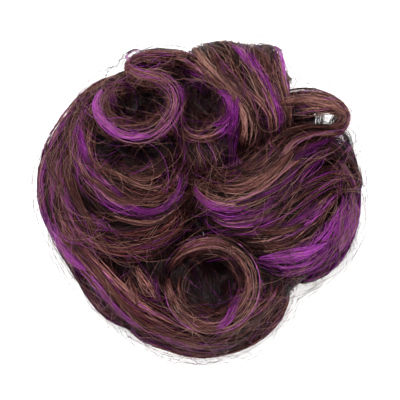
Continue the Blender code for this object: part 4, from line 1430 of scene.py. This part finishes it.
def bunch_strands(bunch, seed):
    """Points = the straight line between the ends + a bow of a half sine, up to BUNCH_BOW."""
    rng = np.random.default_rng(seed)
    shape = (bunch.strands, 1)
    share = np.linspace(0, 1, 12)

    def jitter():
        """How far each strand is off the bunch's line at one end."""
        return rng.normal(0, bunch.spread / 2, shape)

    x = (bunch.x_top + jitter()) * (1 - share) + (bunch.x_low + jitter()) * share
    y = (bunch.y_top + jitter() * 0.3) * (1 - share) + (bunch.y_low + jitter() * 0.3) * share
    bow = np.sin(math.pi * share) * rng.uniform(-1, 1, shape) * BUNCH_BOW
    height = bunch.height / 100 * PILE_HEIGHT + rng.uniform(-3, 2, shape) * MM
    points = np.stack([x / 100 * HALF_SPREAD + bow, y / 100 * HALF_SPREAD, height + bow / 2], -1)
    tone = bunch.tone + rng.normal(0, 0.18, shape)
    radius = 0.13 * MM * rng.uniform(0.6, 1.3, shape)
    return strand_skin(points, radius, UP, tone, 0.0, 0.5, seed)


skin = join([bunch_strands(bunch, BUNCH_SEED + number) for number, bunch in enumerate(BUNCHES)])
add_piece("right_loop_bunches", skin, hair)
print("bunch triangles:", len(skin.tris))

# %% [markdown]
# ## Wisps
#
# Some bundles don't follow any one lock: they slip over two of them, hang in a loop at the edge,
# or run down into a curl. Each is drawn as a short list of places that it passes, and its hairs
# are spread about that line in a spindle, wide in the middle and narrow at both ends. It lies on
# the map's surface, or higher where the list says so.

# %% Table of wisps
Wisp = namedtuple("Wisp", "wide strands tone dye places low", defaults=(0,))

WISPS = (
    # inside and round the crown curl
    Wisp(5, 44, 0.60, 0.10, ((-57, 60), (-55, 51), (-47, 46), (-37, 45), (-28, 49), (-23, 56))),
    Wisp(5, 30, 0.50, 0.80, ((-52, 68), (-52, 60), (-46, 54), (-40, 52))),
    Wisp(4, 26, 0.56, 0.00, ((-20, 60), (-24, 53), (-32, 50), (-41, 49), (-49, 53))),
    Wisp(4, 22, 0.62, 0.00, ((-42, 70), (-44, 63), (-41, 56))),
    Wisp(3, 18, 0.62, 0.00, ((-31, 66), (-33, 60), (-29, 54))),
    Wisp(5, 40, 0.84, 0.90, ((-58, 66), (-62, 57), (-58, 48), (-50, 41), (-40, 38), (-30, 39))),
    Wisp(3, 34, 0.74, 0.20, ((-24, 44), (-17, 50), (-14, 58), (-16, 66), (-21, 72))),
    # the hairpin above it and the dark between it and the top
    Wisp(4, 44, 0.62, 0.15, ((-42, 82), (-37, 87), (-26, 90), (-12, 89), (-1, 85))),
    Wisp(4, 40, 0.66, 0.25, ((-43, 81), (-35, 77), (-25, 74), (-17, 70))),
    Wisp(2, 14, 0.80, 0.95, ((-34, 90), (-40, 91), (-44, 87), (-41, 82)), 40),
    Wisp(3, 16, 0.86, 0.30, ((-15, 86), (-9, 84), (-3, 80), (3, 75))),
    Wisp(7, 60, 0.44, 0.80, ((-12, 80), (-5, 76), (2, 70), (4, 62))),
    Wisp(5, 40, 0.36, 0.85, ((-12, 70), (-8, 64), (-10, 56))),
    # top curl
    Wisp(5, 50, 0.66, 0.95, ((10, 65), (16, 62), (18, 55), (15, 48), (8, 45))),
    Wisp(4, 36, 0.60, 0.10, ((-6, 60), (-1, 53), (5, 49), (12, 47))),
    Wisp(3, 22, 0.66, 0.10, ((0, 64), (4, 57), (10, 52))),
    Wisp(5, 44, 0.52, 0.95, ((24, 62), (21, 52), (20, 42), (20, 30), (19, 20))),
    # top locks
    Wisp(4, 26, 0.70, 0.90, ((20, 94), (24, 91), (28, 86), (30, 80))),
    Wisp(3, 24, 0.62, 0.90, ((40, 68), (43, 65), (47, 57), (49, 48), (48, 40))),
    Wisp(6, 60, 0.62, 0.05, ((8, 90), (14, 78), (22, 68), (30, 58), (35, 46))),
    Wisp(5, 40, 0.58, 0.05, ((32, 92), (40, 86), (44, 77), (45, 68))),
    Wisp(4, 34, 0.55, 0.05, ((34, 46), (38, 40), (36, 33), (40, 27))),
    Wisp(3, 26, 0.60, 0.05, ((44, 42), (43, 35), (47, 30))),
    # right loop and the messy end under it
    Wisp(6, 70, 0.84, 0.00, ((48, 57), (58, 60), (70, 60), (82, 57), (89, 51))),
    Wisp(4, 40, 0.62, 0.00, ((46, 36), (55, 41), (66, 44), (78, 44), (88, 44))),
    Wisp(2, 20, 0.56, 0.90, ((86, 40), (91, 37), (91, 31), (86, 28)), 30),
    Wisp(3, 26, 0.40, 0.10, ((86, 31), (92, 25), (97, 18), (99, 10), (97, 4)), 28),
    Wisp(2, 18, 0.36, 0.00, ((88, 28), (95, 20), (98, 12), (95, 6), (90, 5)), 26),
    Wisp(3, 22, 0.50, 0.30, ((84, 24), (90, 17), (94, 9), (91, 2)), 26),
    Wisp(4, 30, 0.46, 0.20, ((72, 36), (80, 33), (86, 29), (90, 22))),
    Wisp(5, 36, 0.46, 0.20, ((80, 43), (87, 40), (91, 35), (92, 28)), 20),
    Wisp(5, 40, 0.46, 0.70, ((56, 24), (64, 29), (72, 33), (80, 37))),
    # right sweeps
    Wisp(4, 40, 0.72, 0.90, ((-3, 8), (1, 1), (9, -4), (20, -6), (29, -4))),
    Wisp(3, 22, 0.52, 0.80, ((20, -4), (31, 0), (42, 5), (51, 11), (58, 18), (63, 24))),
    Wisp(4, 30, 0.68, 0.90, ((8, -11), (17, -15), (28, -15), (38, -12), (47, -7))),
    Wisp(3, 30, 0.52, 0.90, ((48, -16), (57, -13), (66, -7), (72, 0))),
    Wisp(6, 70, 0.80, 0.00, ((6, 10), (16, 7), (28, 8), (40, 14), (49, 21), (57, 30))),
    Wisp(4, 44, 0.68, 0.00, ((34, -18), (44, -20), (55, -18), (64, -14))),
    Wisp(4, 40, 0.64, 0.00, ((28, -27), (38, -28), (50, -27), (62, -24))),
    Wisp(5, 34, 0.56, 0.00, ((22, 19), (30, 16), (38, 18), (45, 24), (50, 32))),
    # fan and right rim
    Wisp(5, 60, 0.88, 0.95, ((36, -36), (46, -36), (57, -34), (67, -32), (78, -26))),
    Wisp(5, 60, 0.76, 1.00, ((88, 2), (88, -10), (86, -20), (81, -30))),
    Wisp(6, 70, 1.05, 0.70, ((93, 4), (94, -8), (91, -20), (86, -32)), 34),
    # left locks
    Wisp(5, 50, 0.58, 0.95, ((-74, 46), (-71, 36), (-69, 28), (-64, 21))),
    Wisp(4, 40, 0.50, 0.95, ((-80, 8), (-79, -2), (-76, -10))),
    Wisp(4, 44, 0.58, 0.95, ((-52, 8), (-46, 0), (-38, -6), (-28, -8), (-19, -4), (-12, 5), (-10, 16))),
    Wisp(3, 34, 0.66, 0.00, ((-72, 16), (-62, 11), (-52, 3), (-42, -1), (-30, 0), (-20, 3))),
    Wisp(3, 40, 0.68, 0.00, ((-56, -8), (-46, -12), (-35, -14), (-24, -13), (-14, -6))),
    Wisp(5, 44, 0.64, 0.00, ((-82, 32), (-80, 18), (-76, 4), (-70, -8), (-62, -18))),
    Wisp(5, 40, 0.62, 0.10, ((-93, 34), (-90, 20), (-84, 10), (-80, 0))),
    Wisp(4, 30, 0.58, 0.30, ((-66, -8), (-60, -14), (-52, -20))),
    Wisp(4, 36, 0.76, 0.10, ((-44, 17), (-38, 14), (-30, 13), (-22, 16))),
    # bottom
    Wisp(5, 50, 0.66, 0.95, ((-92, -12), (-89, -20), (-84, -29), (-76, -37), (-68, -43))),
    Wisp(3, 30, 0.66, 0.90, ((-66, -46), (-59, -56), (-51, -66), (-42, -74), (-34, -79)), 24),
    Wisp(4, 50, 0.62, 0.00, ((-80, -22), (-71, -32), (-62, -43), (-52, -57), (-42, -69), (-30, -79))),
    Wisp(6, 30, 0.74, 0.00, ((-41, -46), (-41, -52), (-39, -58), (-37, -64))),
    Wisp(4, 30, 0.50, 1.00, ((-28, -42), (-26, -51), (-24, -61))),
    Wisp(4, 26, 0.64, 0.00, ((-20, -46), (-18, -54), (-15, -63))),
    Wisp(2, 14, 0.70, 0.00, ((-11, -45), (-12, -54), (-8, -63))),
    # under the crown curl
    Wisp(7, 80, 0.48, 0.25, ((-52, 34), (-43, 27), (-32, 25), (-22, 28), (-14, 34))),
    Wisp(6, 60, 0.42, 0.15, ((-47, 24), (-36, 20), (-26, 20), (-16, 25))),
    # lower curl
    Wisp(8, 90, 0.46, 0.25, ((8, -34), (12, -42), (16, -52), (18, -62))),
    Wisp(7, 80, 0.36, 0.10, ((2, -34), (5, -44), (8, -54), (9, -64))),
    Wisp(7, 60, 0.26, 0.30, ((-6, -36), (-3, -46), (0, -56), (2, -64))),
    Wisp(4, 40, 0.66, 0.05, ((-13, -33), (-7, -28), (2, -25), (12, -25), (20, -28))),
    Wisp(3, 30, 0.58, 0.00, ((11, -36), (18, -41), (23, -48), (26, -56))),
    Wisp(3, 24, 0.56, 0.00, ((9, -46), (15, -52), (20, -60))),
    Wisp(3, 24, 0.66, 0.00, ((-1, -58), (4, -64), (10, -69))),
    Wisp(4, 36, 0.54, 1.00, ((24, -58), (20, -66), (16, -73), (10, -79))),
    Wisp(4, 36, 0.64, 0.10, ((-12, -66), (-5, -75), (5, -79), (15, -78))),
    Wisp(4, 36, 0.60, 0.00, ((10, -82), (22, -80), (33, -74), (42, -66))),
    Wisp(6, 70, 0.78, 0.08, ((-26, -82), (-12, -88), (3, -91), (18, -90), (30, -85))),
)
WISP_STEPS = 20
WISP_DYED = 0.88
WISP_PART = 0.55
WISP_SPREAD = 0.45
WISP_SEED = 9000


def wisp_strands(wisp, seed):
    """Hairs spread about a smooth line by a spindle.

    The spindle is half the width x (0.25 + 0.75 x sin(pi x way) to the power of 0.7) at a place.
    Their height is the surface at each point, smoothed along the hair, and a lift of its own.
    """
    rng = np.random.default_rng(seed)
    shape = (wisp.strands, 1)
    dense = cubic_through(np.array(wisp.places, float) / 100 * HALF_SPREAD, 200)
    gone = np.append(0, np.cumsum(np.linalg.norm(np.diff(dense, axis=0), axis=1)))
    part = rng.uniform(WISP_PART, 1.0, shape)
    way = rng.random(shape) * (1 - part) + part * np.linspace(0, 1, WISP_STEPS)
    x, y = (np.interp(way * gone[-1], gone, dense[:, k]) for k in (0, 1))
    turn = np.arctan2(np.gradient(dense[:, 1]), np.gradient(dense[:, 0]))
    turn = np.interp(way * gone[-1], gone, np.unwrap(turn))
    half = wisp.wide / 2 * MM * (0.25 + 0.75 * np.sin(math.pi * np.clip(way, 0, 1)) ** 0.7)
    aside = rng.normal(0, WISP_SPREAD, shape) + 0.25 * wander(rng, wisp.strands, way, 0.5, 3.0)
    x, y = x - half * aside * np.sin(turn), y + half * aside * np.cos(turn)
    lift = rng.uniform(0.1, 0.9, shape) * MM + 0.5 * MM * wander(rng, wisp.strands, way, 0.5, 2)
    height = np.maximum(rested(surface, x, y, lift), wisp.low / 100 * PILE_HEIGHT + 3 * lift)
    points = np.stack([x, y, height], axis=-1)
    tone = wisp.tone - 0.05 + rng.normal(0, 0.17, shape) - 0.16 * abs(2 * way - 1) ** 2
    dye = rng.random(shape) < WISP_DYED * wisp.dye
    radius = MM * rng.uniform(0.07, 0.12, shape)
    return strand_skin(points, radius, UP, tone, dye, 0.55, seed)


# %% Make the wisps
skins = [wisp_strands(wisp, WISP_SEED + number) for number, wisp in enumerate(WISPS)]
half = len(skins) // 2
for name, some in (("upper_wisps", skins[:half]), ("lower_wisps", skins[half:])):
    skin = join(some)
    add_piece(name, skin, hair)
    print(name, "triangles:", len(skin.tris))

# %% [markdown]
# ## Loose hairs
#
# A loose hair is an arc drawn on the map: it starts at some lock, heads roughly the way that the
# lock goes, and its heading turns steadily with a little wander. Summing small steps along the
# heading gives its points for all the hairs at once. It rests on the highest thing within a few
# millimetres, as a springy hair does, and its two ends dip in between the others.

# %% Hairs over the top
LOOSE_HAIRS = 1300
CURLY_HAIRS = 950
MESSINESS = {
    "left_shoulder_lock": 3.0,
    "left_sweep_outer": 1.6,
    "crown_curl": 2.2,
    "top_curl": 2.0,
    "right_rim_lock": 2.2,
    "right_loop": 1.4,
    "top_heart_lock": 1.6,
    "right_sweep_upper": 0.5,
    "right_sweep_middle": 0.5,
    "right_fan": 0.2,
}
LOOSE_LIMIT = 4.5 * MM
RIM_MARGIN = 3 * MM
LOOSE_SPREAD = 4 * MM
LOOSE_TURN = 0.26
SHARPEST_BEND = 90
LOOSE_DYED = 0.12
LOOSE_SEED = 7000


def arcs(rng, x, y, heading, bend, length, steps):
    """Points of arcs: heading turns by bend x step plus wander, and the steps are summed."""
    share = np.linspace(0, 1, steps)
    turn = heading + bend * length * share
    turn = turn + 0.30 * wander(rng, len(x), share, 0.4, 1.6)
    step = length / steps
    return x + np.cumsum(np.cos(turn) * step, 1), y + np.cumsum(np.sin(turn) * step, 1)


def past_rim(x, y):
    """How far points are past the rim, seen from the ring's centre, and 0 inside it."""
    x, y = x - RING_CENTRE[0], y - RING_CENTRE[1]
    edge = np.interp(np.degrees(np.arctan2(y, x)), RIM_ANGLES, rim, period=360)
    return np.maximum(np.hypot(x, y) - edge, 0)


def drawn_back(x, y, by):
    """Points drawn back towards the ring's centre by some distance."""
    share = 1 - by / np.hypot(x - RING_CENTRE[0], y - RING_CENTRE[1])
    x, y = x - RING_CENTRE[0], y - RING_CENTRE[1]
    return x * share + RING_CENTRE[0], y * share + RING_CENTRE[1]


def held_in(rng, x, y, furthest):
    """Points past the rim drawn back: d past it becomes limit x tanh(d / limit).

    Each hair has a limit of its own, up to the furthest.
    """
    limit = furthest * rng.uniform(0.4, 1.0, (len(x), 1))
    over = past_rim(x, y)
    return drawn_back(x, y, over - limit * np.tanh(over / limit))


def loose_hairs(count, steps, shortest, longest, curl, seed):
    """Arcs that start near a lock's middle line and bend about as the lock does there.

    curl is how far, in radians a metre, a hair's bend differs from the lock's.
    """
    rng = np.random.default_rng(seed)
    share = np.linspace(0, 1, steps)
    centres = np.concatenate([path.centre for path in paths.values()])
    along = np.concatenate([path.along for path in paths.values()])
    turned = np.concatenate([
        np.gradient(np.unwrap(np.arctan2(path.along[:, 1], path.along[:, 0])), path.length / PATH_STEPS)
        for path in paths.values()
    ])
    weight = [MESSINESS.get(name, 1.0) * path.length for name, path in paths.items()]
    weight = np.repeat(weight, PATH_STEPS)
    pick = rng.choice(len(centres), count, p=weight / weight.sum())
    spot = centres[pick, :2] + rng.normal(0, LOOSE_SPREAD, (count, 2))
    heading = np.arctan2(along[pick, 1], along[pick, 0])[:, None]
    heading = heading + rng.normal(0, LOOSE_TURN, heading.shape)
    bend = np.clip(turned[pick], -SHARPEST_BEND, SHARPEST_BEND)[:, None]
    bend = bend * rng.uniform(0.4, 1.4, heading.shape)
    bend = bend + rng.normal(0, curl, heading.shape)
    length = rng.uniform(shortest, longest, heading.shape)
    x, y = arcs(rng, spot[:, :1], spot[:, 1:], heading, bend, length, steps)
    x, y = held_in(rng, x, y, LOOSE_LIMIT)
    lift = rng.uniform(-0.8, 1.0, heading.shape) * MM - 3.0 * MM * abs(2 * share - 1) ** 5
    over = past_rim(x, y)
    over = np.where(over > 0, over + RIM_MARGIN, 0)
    height = rested(top, *drawn_back(x, y, over), lift) - over
    points = np.stack([x, y, height], axis=-1)
    tone = rng.normal(0.64, 0.18, heading.shape) + 0.25 * (rng.random(heading.shape) < 0.15)
    dye = rng.random(heading.shape) < LOOSE_DYED
    radius = MM * rng.uniform(0.035, 0.068, heading.shape)
    return strand_skin(points, radius, UP, tone, dye, 0.5, seed)


for name, skin in (
    ("loose_hairs", loose_hairs(LOOSE_HAIRS, 22, 12 * MM, 40 * MM, 22, LOOSE_SEED)),
    ("curly_hairs", loose_hairs(CURLY_HAIRS, 18, 6 * MM, 20 * MM, 95, LOOSE_SEED + 1)),
):
    add_piece(name, skin, hair)
    print(name, "triangles:", len(skin.tris))

# %% [markdown]
# ## Flyaway hairs
#
# No bun is tidy at its edge. Single hairs stand off the rim in shallow arcs and small loops, so
# thin that a white ground shines through between them. They start just inside the rim, leave it
# at some angle, and bend back towards it.

# %% Hairs off the rim
FLYAWAYS = 130
FLY_STEPS = 26
FLY_LIMIT = 8 * MM
FLY_SEED = 8000
FLY_PLACES = ((248, 24, 0.22), (315, 9, 0.14), (20, 14, 0.08))


def flyaway_hairs():
    """Arcs that leave the rim's tangent by an angle P, stand off it by S and bend back to it.

    Such an arc has the radius R = S / (1 - cos P) and is 2 P R long when it is back. FLY_PLACES
    has the angles round the bun where more of them stand off, their spread and their share.
    """
    rng = np.random.default_rng(FLY_SEED)
    spot = rng.uniform(0, 360, (FLYAWAYS, 1))
    draw, passed = rng.random(spot.shape), 0.0
    for angle, spread, part in FLY_PLACES:
        here = (draw >= passed) & (draw < passed + part)
        spot = np.where(here, rng.normal(angle, spread, spot.shape), spot) % 360
        passed += part
    start = np.interp(spot, RIM_ANGLES, rim, period=360)
    start = start * rng.uniform(0.93, 1.0, spot.shape)
    way_round = rng.choice([-1, 1], spot.shape)
    leaving = np.radians(rng.uniform(22, 105, spot.shape))
    stand_off = rng.uniform(1.2, 6.5, spot.shape) * MM
    round_off = stand_off / (1 - np.cos(leaving))
    heading = np.radians(spot) + way_round * (math.pi / 2 - leaving)
    length = round_off * 2 * leaving * rng.uniform(0.7, 1.5, spot.shape)
    bend = way_round / round_off
    x = RING_CENTRE[0] + start * np.cos(np.radians(spot))
    y = RING_CENTRE[1] + start * np.sin(np.radians(spot))
    x, y = held_in(rng, *arcs(rng, x, y, heading, bend, length, FLY_STEPS), FLY_LIMIT)
    rise = wander(rng, FLYAWAYS, np.linspace(0, 1, FLY_STEPS), 0.4, 1.2)
    height = rng.uniform(9, 26, spot.shape) * MM + 5 * MM * rise
    points = np.stack([x, y, height], axis=-1)
    tone = rng.normal(0.62, 0.14, spot.shape)
    dye = rng.random(spot.shape) < 0.2
    radius = MM * rng.uniform(0.04, 0.07, spot.shape)
    return strand_skin(points, radius, UP, tone, dye, 0.5, FLY_SEED)


skin = flyaway_hairs()
add_piece("flyaway_hairs", skin, hair)
print("flyaway triangles:", len(skin.tris))

# %% [markdown]
# ## Floor, light and camera
#
# The bun lies on a plain pale table under a soft light from above, and the camera looks straight
# down on it from far enough that the near locks don't swell.

# %% Floor
FLOOR_HALF = 3.0
CORNERS = ((-1, -1), (1, -1), (1, 1), (-1, 1))
floor_mesh = bpy.data.meshes.new("floor")
verts = [(FLOOR_HALF * x, FLOOR_HALF * y, 0.0) for x, y in CORNERS]
floor_mesh.from_pydata(verts, [], [(0, 1, 2, 3)])
floor = new_object("floor", floor_mesh)
paper = Finish("paper")
paper.set(
    Base_Color=(0.55, 0.55, 0.55, 1.0),
    Roughness=0.9,
    Emission_Color=(1.0, 0.99, 0.98, 1.0),
    Emission_Strength=0.78,
)
floor_mesh.materials.append(paper.material)
print("floor half width (m):", FLOOR_HALF)


# %% Lights
def softbox(name, place, size, power):
    """A square area light that faces the origin."""
    light = bpy.data.lights.new(name, "AREA")
    light.size = size
    light.energy = power
    lamp = new_object(name, light)
    lamp.location = place
    lamp.rotation_euler = lamp.location.to_track_quat("Z", "Y").to_euler()


softbox("key", (-0.12, 0.42, 1.30), 0.45, 30)
softbox("fill", (0.85, -0.45, 1.0), 0.5, 6)
softbox("side", (-0.95, -0.3, 0.8), 0.5, 5)
world = bpy.data.worlds.new("room")
world.use_nodes = True
background = world.node_tree.nodes["Background"]
background.inputs["Color"].default_value = (1.0, 1.0, 1.0, 1.0)
background.inputs["Strength"].default_value = 0.08
bpy.context.scene.world = world
bpy.context.scene.view_settings.view_transform = "Standard"
print("lights:", len(bpy.data.lights))

# %% Camera
CAMERA_HEIGHT = 1.40
LENS = 270.6
camera_data = bpy.data.cameras.new("camera")
camera_data.lens = LENS
camera = new_object("camera", camera_data)
camera.location = (0.0005, -0.0002, CAMERA_HEIGHT)
bpy.context.scene.camera = camera
print("camera height (m):", CAMERA_HEIGHT)
